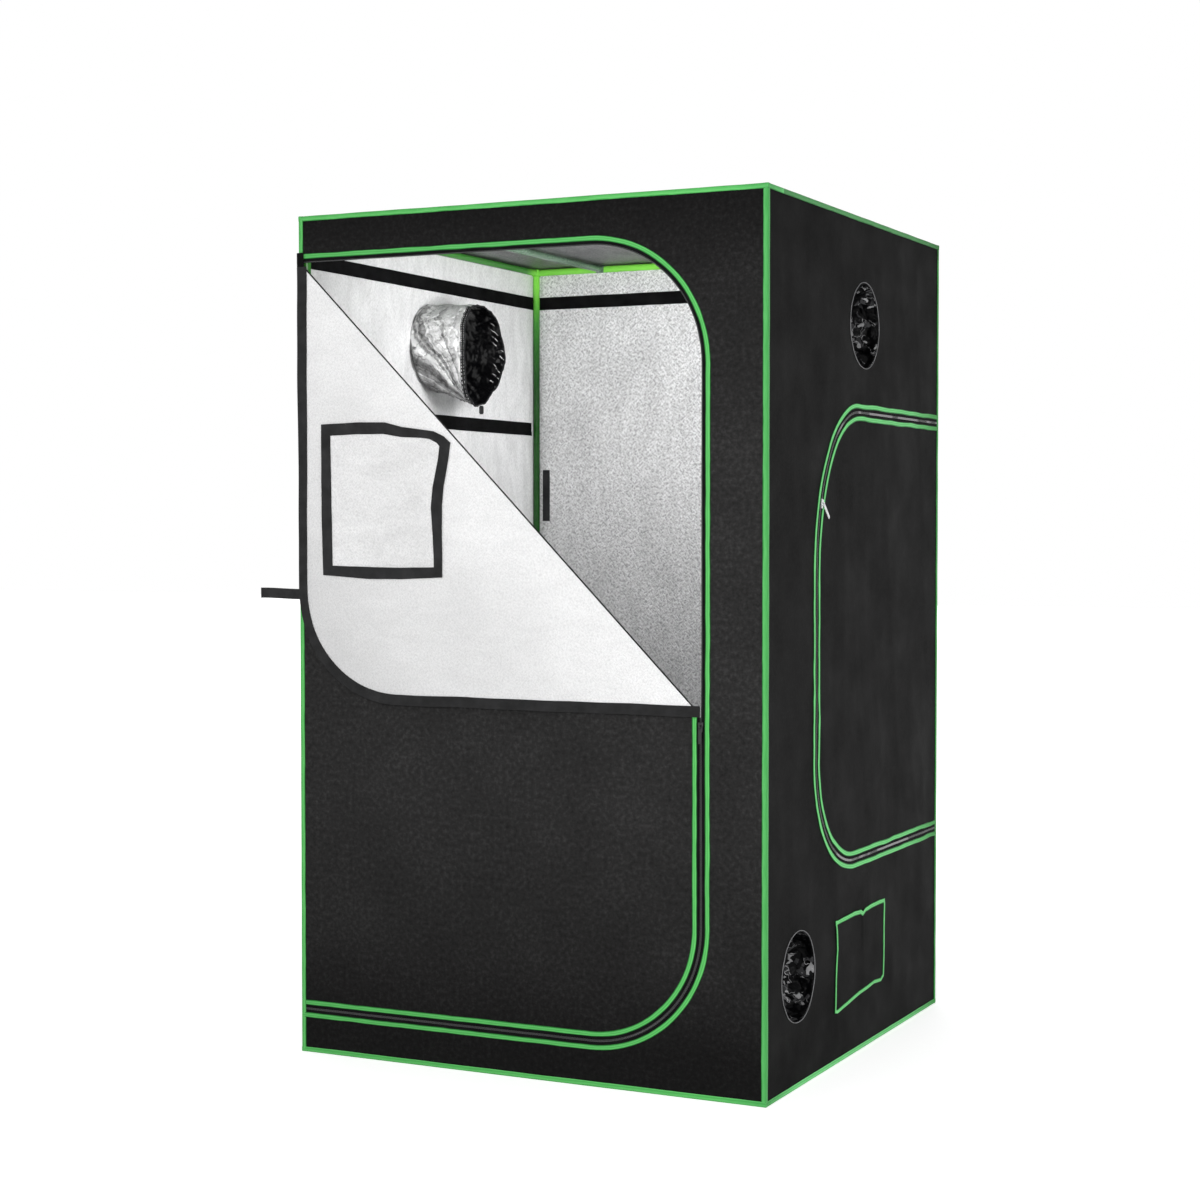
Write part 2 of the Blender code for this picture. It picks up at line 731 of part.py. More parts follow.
def tape_parts(inner, outer, lower_level, upper_level):
    """A tape along the front door's zip, cut in two at its fold."""
    lower_line, upper_line = split_line(zip_line(FRONT_DOOR, -STILE_X + SEAT), FOLD_SUM)
    lower = clipped(strip(lower_line, inner, outer), lower_level, 1)
    upper = clipped(strip(upper_line, inner, outer), upper_level, -1)
    return lower, upper


def build_front_door():
    """The lower door, and the flap, which is drawn closed and then turned about the fold."""
    lower, upper = door_parts()
    clear = (BEAD_RADIUS + SEAT) * math.sqrt(2)
    coil_start = FOLD_SUM + clear + FLAP_EASE_LENGTH
    coil_low, coil_high = tape_parts(SEAT, SEAT + COIL_WIDTH, FOLD_SUM - clear, coil_start)
    half = BINDING_WIDTH / 2
    tape_low, tape_high = tape_parts(
        ZIP_TO_BINDING - half, ZIP_TO_BINDING + half, FOLD_SUM - clear, FOLD_SUM + clear
    )
    tape_out = -WALL_Y - SEAT - BINDING
    tape_in = -WALL_Y - SEAT
    coil_out = -WALL_Y - COIL_PROUD

    panel = plate("door_panel", [lower], "front", -WALL_Y, -INSIDE_Y)
    boolean(panel, as_tool(plate("door_panel_coil", [coil_low], "front", coil_out, DOOR_SHEET_Y)), "UNION")
    keep(panel, "black_cloth")
    panel_tape = keep(plate("door_binding", [tape_low], "front", tape_out, tape_in), "green_tape")

    flap = plate("door_flap", [upper, window_outline(-WINDOW_TRIM)], "front", -WALL_Y, -INSIDE_Y)
    boolean(flap, as_tool(plate("door_flap_coil", [coil_high], "front", coil_out, DOOR_SHEET_Y)), "UNION")
    boolean(flap, fold_bead(), "UNION")
    keep(flap, "film")
    flap_tape = keep(plate("flap_binding", [tape_high], "front", tape_out, tape_in), "green_tape")

    hinge = axis_empty("door_swing_axis", (-WIDTH / 2 + DOOR_AXIS_LEFT, -DEPTH / 2 - DOOR_AXIS_OUT, DOOR_SILL))
    carry(hinge, panel, panel_tape)
    fold = axis_empty("door_fold_axis", (FOLD_SUM / 2, FOLD_Y, FOLD_SUM / 2), hinge)
    carry(fold, flap, flap_tape, *build_window())
    fold.rotation_mode = "QUATERNION"
    fold.rotation_quaternion = Quaternion((-1, 0, 1), -math.pi)
    return hinge


def fold_bead():
    """The rolled edge where the cloth turns over, along the fold's axis."""
    left = -STILE_X + BEAD_END
    right = DOOR_RIGHT - BEAD_END
    start = Vector((left, FOLD_Y, FOLD_SUM - left))
    end = Vector((right, FOLD_Y, FOLD_SUM - right))
    turn = Vector((0, 0, 1)).rotation_difference(end - start).to_matrix().to_4x4()
    form = bmesh.new()
    bmesh.ops.create_cone(
        form,
        cap_ends=True,
        segments=TUBE_SIDES - 2,
        radius1=BEAD_RADIUS,
        radius2=BEAD_RADIUS,
        depth=(end - start).length,
        matrix=Matrix.Translation((start + end) / 2) @ turn,
    )
    return as_tool(mesh_object("fold_bead", form))


def window_outline(grow):
    """The window's outline with the door closed, grown by a margin past its trim."""
    right = DOOR_RIGHT - WINDOW_FROM_RIGHT * FLAP_LEG
    left = right - WINDOW_ACROSS * FLAP_LEG
    high = DOOR_TOP - WINDOW_FROM_TOP * FLAP_LEG
    low = high - WINDOW_UP * FLAP_LEG
    return rectangle(left - grow, right + grow, low - grow, high + grow)


def build_window():
    """The clear pane and its trim inside the door, and the cover that closes it outside."""
    pane_out = -INSIDE_Y + SEAT
    pane_in = pane_out + WINDOW_PANE
    trim_out = pane_in + SEAT
    pane = plate("window_pane", [window_outline(WINDOW_OVERLAP - WINDOW_TRIM)], "front", pane_out, pane_in)
    frame = [window_outline(0), window_outline(-WINDOW_TRIM)]
    trim = plate("window_trim", frame, "front", trim_out, trim_out + TRIM)
    cover = plate("window_cover", [window_outline(0)], "front", -WALL_Y - SEAT - FABRIC, -WALL_Y - SEAT)
    return keep(pane, "clear_sheet"), keep(trim, "black_webbing"), keep(cover, "black_cloth")


def build_side_door(side, sign):
    """A side door's panel and its green tape, on an axis at the back corner."""
    edge = zip_line(SIDE_DOOR, STILE_Y - SEAT, SEAT / 2)
    low, high = sorted((sign * INSIDE_X, sign * WALL_X))
    panel = plate(f"{side}_panel", [edge], "side", low, high)
    line = zip_line(SIDE_DOOR, STILE_Y - SEAT)
    add_coil(panel, line, 1, "side", sign * WALL_X, sign)
    keep(panel, "black_cloth")
    half = BINDING_WIDTH / 2
    outline = strip(line, ZIP_TO_BINDING - half, ZIP_TO_BINDING + half)
    low, high = sorted((sign * (WALL_X + SEAT), sign * (WALL_X + SEAT + BINDING)))
    tape = keep(plate(f"{side}_panel_binding", [outline], "side", low, high), "green_tape")
    axis = axis_empty(f"{side}_panel_axis", (sign * (WIDTH / 2 + SIDE_AXIS_OUT), STILE_Y - SEAT / 2, SIDE_BOTTOM))
    carry(axis, panel, tape)
    return axis


def slider_outline():
    """A slider's body, with its wide end at the top, split by a notch."""
    half, tail, length = SLIDER_WIDTH / 2, SLIDER_TAIL / 2, SLIDER_LENGTH
    notch = half / 3
    return [
        (-notch, 0),
        (-half, 0),
        (-half, -length / 3),
        (-tail, -length * 2 / 3),
        (-tail, -length),
        (tail, -length),
        (tail, -length * 2 / 3),
        (half, -length / 3),
        (half, 0),
        (notch, 0),
        (0, -notch),
    ]


def arch_outline():
    outer = ARCH_INNER + ARCH_THICK
    over = arc((0, 0), (outer, outer), 0, 180, 8)
    under = arc((0, 0), (ARCH_INNER, ARCH_INNER), 180, 0, 8)
    return over + [(-outer, -ARCH_SINK), (-ARCH_INNER, -ARCH_SINK)] + under + [
        (ARCH_INNER, -ARCH_SINK),
        (outer, -ARCH_SINK),
    ]


def pull_outlines(length):
    """A pull tab with an eye for the slider's arch, hanging down from its turning axis."""
    half, bar = PULL_WIDTH / 2, PULL_BAR / 2
    eye_half = ARCH_WIDTH / 2 + PULL_EYE_ROOM
    tab = rounded_rectangle(-half, half, bar - length, bar, half / 2)
    eye = rectangle(-eye_half, eye_half, -bar - PULL_EYE, -bar)
    return [tab, eye]


def build_slider(side, place, plane, slope, tilt, pull_length, finish, parent):
    """A zip slider and its pull; place is the zip's chain at the slider's upper end."""
    face = COIL_PROUD + SEAT
    base = Matrix.Translation(place) @ PLANES[plane].to_4x4() @ Matrix.Rotation(slope, 4, "Z")
    lift = Matrix.Translation((0, 0, face + SLIDER_THICK / 2))
    body = placed_plate(f"{side}_slider", [slider_outline()], base @ lift, SLIDER_THICK / 2)
    bevel = body.modifiers.new("edge", "BEVEL")
    bevel.width = SLIDER_EDGE
    bevel.segments = 1

    eye = base @ Matrix.Translation((0, -ARCH_BELOW_TOP, face + SLIDER_THICK)) @ Matrix.Rotation(tilt, 4, "Z")
    stand = Matrix(((0, 0, 1, 0), (1, 0, 0, 0), (0, 1, 0, 0), (0, 0, 0, 1)))
    arch = placed_plate(f"{side}_slider_arch", [arch_outline()], eye @ stand, ARCH_WIDTH / 2)
    boolean(body, as_tool(arch), "UNION")
    keep(body, finish)

    hang = eye @ Matrix.Translation((0, 0, PULL_AXIS_OUT))
    pull = placed_plate(f"{side}_pull", pull_outlines(pull_length), hang, PULL_THICK / 2)
    keep(pull, finish)

    slide = axis_empty(f"{side}_slider_axis", place, parent)
    carry(slide, body)
    swing = axis_empty(f"{side}_pull_axis", hang.translation, slide)
    carry(swing, pull)


def side_slider_place(sign):
    """The point of the curved side zip at the slider's height, and the slope of its chord below it."""
    places = []
    start = SIDE_DOOR["top"] - SIDE_SLIDER_BELOW_TOP
    for height in (start, start - SIDE_SLIDER_TRAVEL):
        corner_u, corner_v = SIDE_DOOR["top_corner"]
        rise = height - (SIDE_DOOR["top"] - corner_v)
        share = math.sqrt(max(0, 1 - max(0, rise / corner_v) ** 2))
        places.append((SIDE_DOOR["far"] + corner_u * (1 - share), height))
    (u, v), (u_low, v_low) = places
    slope = math.atan2(u - u_low, v - v_low)
    return Vector((sign * WALL_X, u, v)), slope


def build_sliders(door_hinge, right_hinge, left_hinge):
    top = FOLD_SUM - DOOR_RIGHT - SLIDER_BELOW_FOLD
    place = Vector((DOOR_RIGHT, -WALL_Y, top))
    build_slider("door", place, "front", 0, 0, FRONT_PULL_LENGTH, "zip_black", door_hinge)
    tilt = math.radians(SIDE_PULL_TILT)
    place, slope = side_slider_place(1)
    build_slider("right", place, "side", -slope, slope + tilt, SIDE_PULL_LENGTH, "zip_silver", right_hinge)
    place, slope = side_slider_place(-1)
    build_slider("left", place, "left", slope, -slope - tilt, SIDE_PULL_LENGTH, "zip_silver", left_hinge)


def build_vent():
    """The net behind the right wall's vent hole, and the bound flap that closes it outside."""
    left, right = VENT_FRONT + VENT_LAP - NET_MARGIN, VENT_BACK - VENT_LAP + NET_MARGIN
    low, high = VENT_LOW + VENT_LAP - NET_MARGIN, VENT_HIGH - VENT_LAP + NET_MARGIN
    across, up = NET_GAPS
    outlines = [rectangle(left, right, low, high)]
    span_u, span_v = right - left - 2 * NET_MARGIN, high - low - 2 * NET_MARGIN
    step_u, step_v = span_u / across, span_v / up
    for i in range(across):
        for j in range(up):
            u = left + NET_MARGIN + i * step_u + NET_BAR / 2
            v = low + NET_MARGIN + j * step_v + NET_BAR / 2
            outlines.append(rectangle(u, u + step_u - NET_BAR, v, v + step_v - NET_BAR))
    keep(plate("vent_net", outlines, "side", INSIDE_X - SEAT - NET, INSIDE_X - SEAT), "net")

    face = WALL_X + SEAT
    sheet = rectangle(VENT_FRONT, VENT_BACK, VENT_LOW, VENT_HIGH)
    flap = plate("vent_flap", [sheet], "side", face, face + FABRIC + FLAP_EDGE)
    inset = rectangle(
        VENT_FRONT + BINDING_WIDTH, VENT_BACK - BINDING_WIDTH, VENT_LOW + BINDING_WIDTH, VENT_HIGH - BINDING_WIDTH
    )
    recess = plate("vent_flap_recess", [inset], "side", face + FABRIC, face + FABRIC + OVERRUN)
    boolean(flap, as_tool(recess), "DIFFERENCE")
    keep(flap, "black_cloth")
    middle = (VENT_FRONT + VENT_BACK) / 2
    axis = axis_empty("vent_flap_axis", (face + FABRIC + FLAP_EDGE, middle, VENT_HIGH + SEAT))
    carry(axis, flap)


def loft(name, rings):
    """An open tube of cloth through rings of points, given its thickness outward."""
    form = bmesh.new()
    rows = [[form.verts.new(point) for point in ring] for ring in rings]
    for before, after in zip(rows, rows[1:]):
        count = len(before)
        for i in range(count):
            j = (i + 1) % count
            form.faces.new((before[i], before[j], after[j], after[i]))
    bmesh.ops.recalc_face_normals(form, faces=form.faces)
    obj = mesh_object(name, form)
    cloth = obj.modifiers.new("cloth", "SOLIDIFY")
    cloth.thickness = SOCK_CLOTH
    cloth.offset = 0
    obj.data.shade_smooth()
    return obj


def sock_ring(port, sign, depth, radius_at):
    """A ring of the sock at a depth inside the wall; the angle runs from straight up."""
    x = sign * (INSIDE_X - SEAT - depth)
    ring = []
    for i in range(SOCK_SIDES):
        angle = 2 * math.pi * i / SOCK_SIDES
        radius = radius_at(angle)
        ring.append((x, port[0] + radius * math.sin(angle), port[1] + radius * math.cos(angle)))
    return ring


def open_sock_radius(angle, share):
    """The open sock's radius at an angle from straight up and at a share of its length."""
    droop = OPEN_SOCK_TIP_SHARE * share * max(0.0, -math.cos(angle)) ** 4
    ripple = OPEN_SOCK_RIPPLE_SHARE * share * math.sin(OPEN_SOCK_FOLDS * angle + 2 * share)
    return SOCK_BASE * (1 + droop + ripple - share / 30)


def build_open_sock():
    """The left duct sock hangs open, its mouth drawn down to a point by the cord."""
    rings = []
    for k in range(OPEN_SOCK_RINGS + 1):
        share = k / OPEN_SOCK_RINGS
        rings.append(sock_ring(LEFT_PORT, -1, OPEN_SOCK_LENGTH * share, lambda a, s=share: open_sock_radius(a, s)))
    keep(loft("sock_left", rings), "film")


def build_tied_sock(name, port):
    """A duct sock of the right wall, gathered and tied shut inside the tent."""
    depth_shares = (0, 0.12, 0.34, 0.56, 0.72, 0.80, 0.88, 1)
    radius_shares = (1, 0.99, 0.88, 0.60, 0.30, 0.15, 0.20, 0.34)
    ripple_shares = (0, 0.02, 0.07, 0.13, 0.20, 0.22, 0.20, 0.22)
    rings = []
    for depth, radius, ripple in zip(depth_shares, radius_shares, ripple_shares):

        def radius_at(angle, radius=radius, ripple=ripple):
            return SOCK_BASE * radius * (1 + ripple * math.cos(TIED_SOCK_FOLDS * angle))

        rings.append(sock_ring(port, 1, depth * TIED_SOCK_LENGTH, radius_at))
    keep(loft(name, rings), "film")


def build_cord_lock():
    """The barrel that holds the open sock's draw cord, just under its lowest point."""
    tip = LEFT_PORT[1] - open_sock_radius(math.pi, 1) - SOCK_CLOTH / 2
    x = -(INSIDE_X - SEAT - OPEN_SOCK_LENGTH)
    profile = [
        (LOCK_RADIUS * 2 / 3, LOCK_LENGTH / 2),
        (LOCK_RADIUS, LOCK_LENGTH / 3),
        (LOCK_RADIUS, -LOCK_LENGTH / 3),
        (LOCK_RADIUS * 2 / 3, -LOCK_LENGTH / 2),
        (LOCK_HOLE, -LOCK_LENGTH / 2),
        (LOCK_HOLE, LOCK_LENGTH / 2),
    ]
    lock = turned("cord_lock", profile, 12)
    lock.location = (x, LEFT_PORT[0], tip - LOCK_LENGTH / 2 - SEAT)
    keep(lock, "zip_black")


def build_straps():
    """The door's tie strap at the left front corner, and the plain strap beside the back left post."""
    root = -WIDTH / 2 - SEAT
    height = HEIGHT - TIE_BELOW_TOP
    tie = rectangle(root - TIE_LENGTH, root, height - TIE_WIDTH / 2, height + TIE_WIDTH / 2)
    middle = -DEPTH / 2 + BINDING
    strap = plate("tie_strap", [tie], "front", middle - FABRIC / 2, middle + FABRIC / 2)
    keep(strap, "black_webbing")
    carry(axis_empty("tie_strap_axis", (-WIDTH / 2 - TIE_AXIS_OUT, middle, height)), strap)

    left = -WIDTH / 2 + POST_STRAP_SIDE
    high = HEIGHT - POST_STRAP_BELOW_TOP
    flat = rectangle(left, left + POST_STRAP_WIDTH, high - POST_STRAP_LENGTH, high)
    keep(plate("post_strap", [flat], "front", INSIDE_Y - SEAT - FABRIC, INSIDE_Y - SEAT), "black_webbing")


def main():
    build_posts()
    build_rails()
    build_corners()
    build_crossbars()
    build_front_wall()
    build_plain_walls()
    build_side_wall("wall_right", 1, (RIGHT_PORT, LOW_PORT), vent=True)
    build_side_wall("wall_left", -1, (LEFT_PORT,), vent=False)
    build_binding()
    build_inner_band()
    build_floor_tray()
    door_hinge = build_front_door()
    right_hinge = build_side_door("right", 1)
    left_hinge = build_side_door("left", -1)
    build_sliders(door_hinge, right_hinge, left_hinge)
    build_vent()
    build_open_sock()
    build_tied_sock("sock_right_upper", RIGHT_PORT)
    build_tied_sock("sock_right_lower", LOW_PORT)
    build_cord_lock()
    build_straps()


main()
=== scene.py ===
"""Indoor grow tent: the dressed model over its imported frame, lit and seen as in the photograph."""

import math

import bmesh
import bpy
import numpy as np
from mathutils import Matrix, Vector, noise
from mathutils.geometry import delaunay_2d_cdt


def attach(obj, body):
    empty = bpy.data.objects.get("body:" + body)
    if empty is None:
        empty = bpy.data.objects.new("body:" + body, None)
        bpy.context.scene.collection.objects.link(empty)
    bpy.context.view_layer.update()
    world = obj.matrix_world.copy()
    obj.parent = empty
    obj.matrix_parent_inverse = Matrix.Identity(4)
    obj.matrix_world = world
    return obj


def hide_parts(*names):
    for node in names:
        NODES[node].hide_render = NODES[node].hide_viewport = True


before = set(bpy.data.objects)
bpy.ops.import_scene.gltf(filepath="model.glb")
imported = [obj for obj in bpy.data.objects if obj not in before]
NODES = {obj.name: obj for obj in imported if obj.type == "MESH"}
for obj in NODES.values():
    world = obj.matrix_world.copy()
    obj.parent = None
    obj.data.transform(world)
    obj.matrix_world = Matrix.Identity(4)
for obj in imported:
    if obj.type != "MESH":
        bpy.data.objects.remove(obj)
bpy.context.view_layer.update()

# Sizes shared with the solids, in metres
WIDTH, DEPTH, HEIGHT = 1.22, 1.22, 2.03
FABRIC = 0.0015
BINDING = 0.0015
TAPE = 0.012
SEAT = 0.0003
INNER_FACE = -FABRIC - SEAT
WALL = WIDTH / 2 - BINDING - SEAT
INSIDE = WALL - FABRIC
ROOF_TOP = HEIGHT - BINDING - SEAT
FOOT = FABRIC + SEAT
HEAD = ROOF_TOP - FABRIC - SEAT
STILE = WIDTH / 2 - TAPE
ZIP_TO_TAPE = 0.0155
DOOR_RIGHT = WIDTH / 2 - 0.158
DOOR_TOP = HEIGHT - 0.112
DOOR_SILL = 0.106
FOLD_SUM = DOOR_TOP - WIDTH / 2 + 0.002
FOLD_STANDOFF = 0.0035
FOLD_Y = -WALL + FABRIC / 2 - FOLD_STANDOFF
BEAD = 0.004
FRONT_DOOR = {"side": 1, "far": DOOR_RIGHT, "top": DOOR_TOP, "bottom": DOOR_SILL}
FRONT_DOOR["top_corner"] = FRONT_DOOR["bottom_corner"] = (0.275, 0.275)
SIDE_DOOR = {
    "side": -1,
    "far": -DEPTH / 2 + 0.292 + ZIP_TO_TAPE,
    "top": HEIGHT - 0.457 - ZIP_TO_TAPE,
    "bottom": 0.459 + ZIP_TO_TAPE,
    "top_corner": (0.30 - ZIP_TO_TAPE, 0.40 - ZIP_TO_TAPE),
    "bottom_corner": (0.28 - ZIP_TO_TAPE, 0.27 - ZIP_TO_TAPE),
}
PORT = 0.104
LEFT_PORT = (0.010, HEIGHT - 0.265)
RIGHT_PORT = (0.025, HEIGHT - 0.260)
LOW_PORT = (-DEPTH / 2 + 0.200, 0.255)
VENT = (-0.181, 0.176, 0.128, 0.346)
VENT_LAP = 0.02
MM = 0.001
# How far the tapes inside reach from their zip, the longest stretch of a tape without a
# point, and how far the side doors' tapes wander
TAPE_REACH = 0.0245
TAPE_STEP = 0.012
SIDE_WAVE = 0.0022


# Materials

WHITE = (1, 1, 1, 1)
WEAVE = 210
GROUND_LEVEL, SKY_LEVEL = 0.90, 0.40


class Value:
    """A number, colour or vector in a node tree; reckoning with it adds nodes."""

    def __init__(self, graph, socket):
        self.graph, self.socket = graph, socket

    def math(self, operation, other=0.5, clamp=False):
        settings = {"operation": operation, "use_clamp": clamp}
        return self.graph.node("Math", settings=settings, i0=self, i1=other)

    def __add__(self, other):
        return self.math("ADD", other)

    def __sub__(self, other):
        return self.math("SUBTRACT", other)

    def __mul__(self, other):
        return self.math("MULTIPLY", other)

    def __gt__(self, other):
        return self.math("GREATER_THAN", other)

    def __lt__(self, other):
        return self.math("LESS_THAN", other)

    def __abs__(self):
        return self.math("ABSOLUTE")

    def axis(self, index):
        return self.graph.node("SeparateXYZ", output=index, i0=self)

    def noise(self, scale, detail=2.0, roughness=0.5, distortion=0.0):
        chosen = {"Scale": scale, "Detail": detail, "Roughness": roughness, "Distortion": distortion}
        return self.graph.node("TexNoise", Vector=self, **chosen)

    def wave(self, scale, direction="X", distortion=0.0):
        settings = {"bands_direction": direction}
        return self.graph.node("TexWave", 1, settings, Vector=self, Scale=scale, Distortion=distortion)

    def stirred(self, scale, reach, detail=2.0):
        """Coordinates that wander by up to the reach."""
        drift = self.graph.node("TexNoise", output=1, Vector=self, Scale=scale, Detail=detail)
        settings = {"operation": "MULTIPLY_ADD"}
        return self.graph.node("VectorMath", settings=settings, i0=drift, i1=(reach,) * 3, i2=self)

    def ramp(self, *stops):
        """The colour at this value between stops of (place, colour or grey)."""
        made = self.graph.tree.nodes.new("ShaderNodeValToRGB")
        self.graph.tree.links.new(self.socket, made.inputs[0])
        band = made.color_ramp
        while len(band.elements) < len(stops):
            band.elements.new(0.5)
        for element, (place, colour) in zip(band.elements, stops):
            element.position = place
            element.color = (*(colour if isinstance(colour, tuple) else (colour,) * 3), 1)
        return Value(self.graph, made.outputs[0])

    def times(self, other):
        """This colour times another."""
        return self.graph.mix(1.0, self, other, "MULTIPLY")


class Graph:
    """Short ways to add nodes to a tree."""

    def __init__(self, tree):
        self.tree = tree

    def set(self, socket, value):
        if isinstance(value, Value):
            self.tree.links.new(value.socket, socket)
        else:
            socket.default_value = value

    def node(self, kind, output=0, settings=None, **inputs):
        """Adds a node; an input is set by its name, or by i and its number."""
        made = self.tree.nodes.new("ShaderNode" + kind)
        for key, value in (settings or {}).items():
            setattr(made, key, value)
        for key, value in inputs.items():
            self.set(made.inputs[int(key[1:]) if key[1:].isdigit() else key], value)
        return Value(self, made.outputs[output]) if made.outputs else None

    def mix(self, share, a, b, blend="MIX"):
        made = self.tree.nodes.new("ShaderNodeMix")
        made.data_type = "RGBA"
        made.blend_type = blend
        for index, value in ((0, share), (6, a), (7, b)):
            self.set(made.inputs[index], value)
        return Value(self, made.outputs[2])

    def seen_plainly(self):
        """One where a camera, glossy or transmission ray looks."""
        seen = self.node("LightPath", "Is Camera Ray")
        for ray in ("Is Glossy Ray", "Is Transmission Ray"):
            seen = seen.math("MAXIMUM", self.node("LightPath", ray))
        return seen


class Material(Graph):
    """A node material with its Principled shader."""

    def __init__(self, name, colour, roughness, metallic=0.0, coat=0.0, specular=0.5):
        self.data = bpy.data.materials.new(name)
        self.data.use_nodes = True
        super().__init__(self.data.node_tree)
        self.shader = self.tree.nodes["Principled BSDF"]
        self.link((*colour, 1), "Base Color")
        for value, socket in (
            (roughness, "Roughness"),
            (metallic, "Metallic"),
            (coat, "Coat Weight"),
            (specular, "Specular IOR Level"),
        ):
            self.link(value, socket)

    def link(self, value, socket):
        """Sets or links one of the shader's sockets."""
        self.set(self.shader.inputs[socket], value)

    def coordinates(self, kind="UV", scale=(1, 1, 1), turn=0.0):
        source = self.node("TexCoord", output=kind)
        return self.node("Mapping", i0=source, i2=(0, 0, turn), i3=scale)

    def slanted(self, turn, size):
        """Coordinates turned first and divided by sizes after, for a grain that runs slanting."""
        settings, turned = {"vector_type": "TEXTURE"}, (0, 0, math.radians(turn))
        return self.node("Mapping", 0, settings, i0=self.node("TexCoord", "UV"), i2=turned, i3=size)

    def bump(self, height, strength, distance, under=None):
        inputs = {"Strength": strength, "Distance": distance, "Height": height}
        if under is not None:
            inputs["Normal"] = under
        made = self.node("Bump", **inputs)
        self.link(made, "Normal")
        return made


def cloth_black(name, level):
    """Coated oxford: a plain weave, blotched by its coating, with painted shade darkening it towards
    head and foot; the level scales each copy's colour to the painted light on its walls.
    """
    m = Material(name, (0.02, 0.02, 0.02), 0.75, specular=0.04)
    uv = m.coordinates()
    weave = (uv.wave(WEAVE, "X", 0.4) + uv.wave(WEAVE, "Y", 0.4)) * 0.5
    grain, blotch, cloud = uv.noise(420, 2.0, 0.7), uv.noise(95, 3.0, 0.65), uv.noise(5.0, 3.0, 0.6)
    shade = (blotch * 0.7 + cloud * 0.3).ramp(
        (0.32, (0.0105, 0.0103, 0.0103)), (0.52, (0.0205, 0.0201, 0.0201)), (0.72, (0.040, 0.0393, 0.0393))
    )
    # Painted shade: darker away from mid-height, towards head and foot
    from_middle = abs(m.coordinates("Object").axis(2) - 1.05)
    levels = ((0.40, 1.12), (0.55, 0.98), (0.78, 0.78), (0.96, 0.34))
    painted_shade = from_middle.ramp(*((place, share * level) for place, share in levels))
    m.link(shade.times(painted_shade), "Base Color")
    m.link(cloud.ramp((0.3, 0.55), (0.7, 0.72)), "Roughness")
    m.bump(blotch, 0.35, 0.0012, m.bump(weave + grain * 0.8, 0.35, 0.0004))
    return m.data


def film(name, colour, roughness, metallic, emboss, grain, smudge, pitch=0.0042, shaded_from_fold=False, lit=None):
    """Silver film on cloth: a fine slanting grain both ways, with soft handling marks. With its fold
    flag set it is painted darker away from the fold, painted shade that leaves a painted highlight along
    the fold; lit is an axis with painted light levels along it."""
    m = Material(name, colour, roughness, metallic)
    uv = m.coordinates()
    one, two = (m.slanted(turn, (pitch * 2.4, pitch, 1)).noise(1.0, 1.0) for turn in (43, -47))
    rough = one.math("MAXIMUM", two) * 0.7 + uv.noise(0.7 / pitch, 1.0, 0.6) * 0.3
    shades = [tuple(min(0.97, c * k) for c in colour) for k in (1 - grain, 1.0, 1 + grain * 0.7)]
    shade = rough.ramp(*zip((0.42, 0.545, 0.68), shades))
    marks = m.coordinates(scale=(19, 8, 1)).noise(1.0, 4.0, 0.65, 0.8)
    patch = uv.noise(2.6, 3.0, 0.5)
    veil = marks.ramp((0.36, 1 - smudge), (0.60, 1.0))
    shade = shade.times(veil.times(patch.ramp((0.34, 1 - smudge * 0.7), (0.58, 1.0))))
    where = m.coordinates("Object")
    if shaded_from_fold:
        # Painted shade: the film darkens away from the flap's fold
        from_fold = (where.axis(0) + where.axis(2)) * -1.0 + FOLD_SUM
        wander = (where.noise(3.0, 2.0) - 0.5) * 0.35
        shade = shade.times((from_fold + wander).ramp((0.10, 1.0), (0.28, 0.90), (0.62, 0.86), (0.85, 0.76)))
    if lit:
        # Painted light: lighter or darker along the given axis
        shade = shade.times((where.axis(lit[0]) * 0.3 + 0.3).ramp(*lit[1]))
    m.link(shade, "Base Color")
    m.bump(marks, 0.30, 0.006, m.bump(rough, emboss, 0.0030))
    return m.data


def crinkled_film():
    """The thin silver cloth of the duct socks: crumpled, folds drawn to the mouth's lowest point.
    Its colour is painted light and shade: darker in the folds and creases, lighter higher up and
    towards the tent's right wall.
    """
    m = Material("sock_silver", (0.80, 0.80, 0.81), 0.34, 0.50)
    where = m.coordinates("Object")
    bend = where.noise(14, 3.0, 0.6)
    down, out = where.axis(2) - 1.600, where.axis(0) + 0.449
    turn = down.math("ARCTAN2", out) + bend * 0.35
    settings = {"noise_dimensions": "1D"}
    folds = m.node("TexNoise", 0, settings, W=turn, Scale=5.5, Detail=4.0, Roughness=0.7)
    stir = where.stirred(26.0, 0.045, 3.0)
    coarse, fine = (
        abs(stir.noise(scale, 1.0) - 0.5).ramp((0.0, 0.0), (0.02, 0.55), (0.10, 1.0)) for scale in (24, 62)
    )
    crumple = coarse * 0.6 + fine * 0.4
    # Painted light and shade: folds and creases darken it, and it lightens upwards and towards the right
    # wall
    tone = folds * 1.25 + (crumple * 0.34 + (down * 1.3 + out * 2.2))
    m.link((tone - 0.30).ramp((0.14, 0.045), (0.34, 0.17), (0.52, 0.40), (0.72, 0.82)), "Base Color")
    m.bump(folds + bend, 0.9, 0.020, m.bump(crumple, 0.6, 0.004))
    return m.data


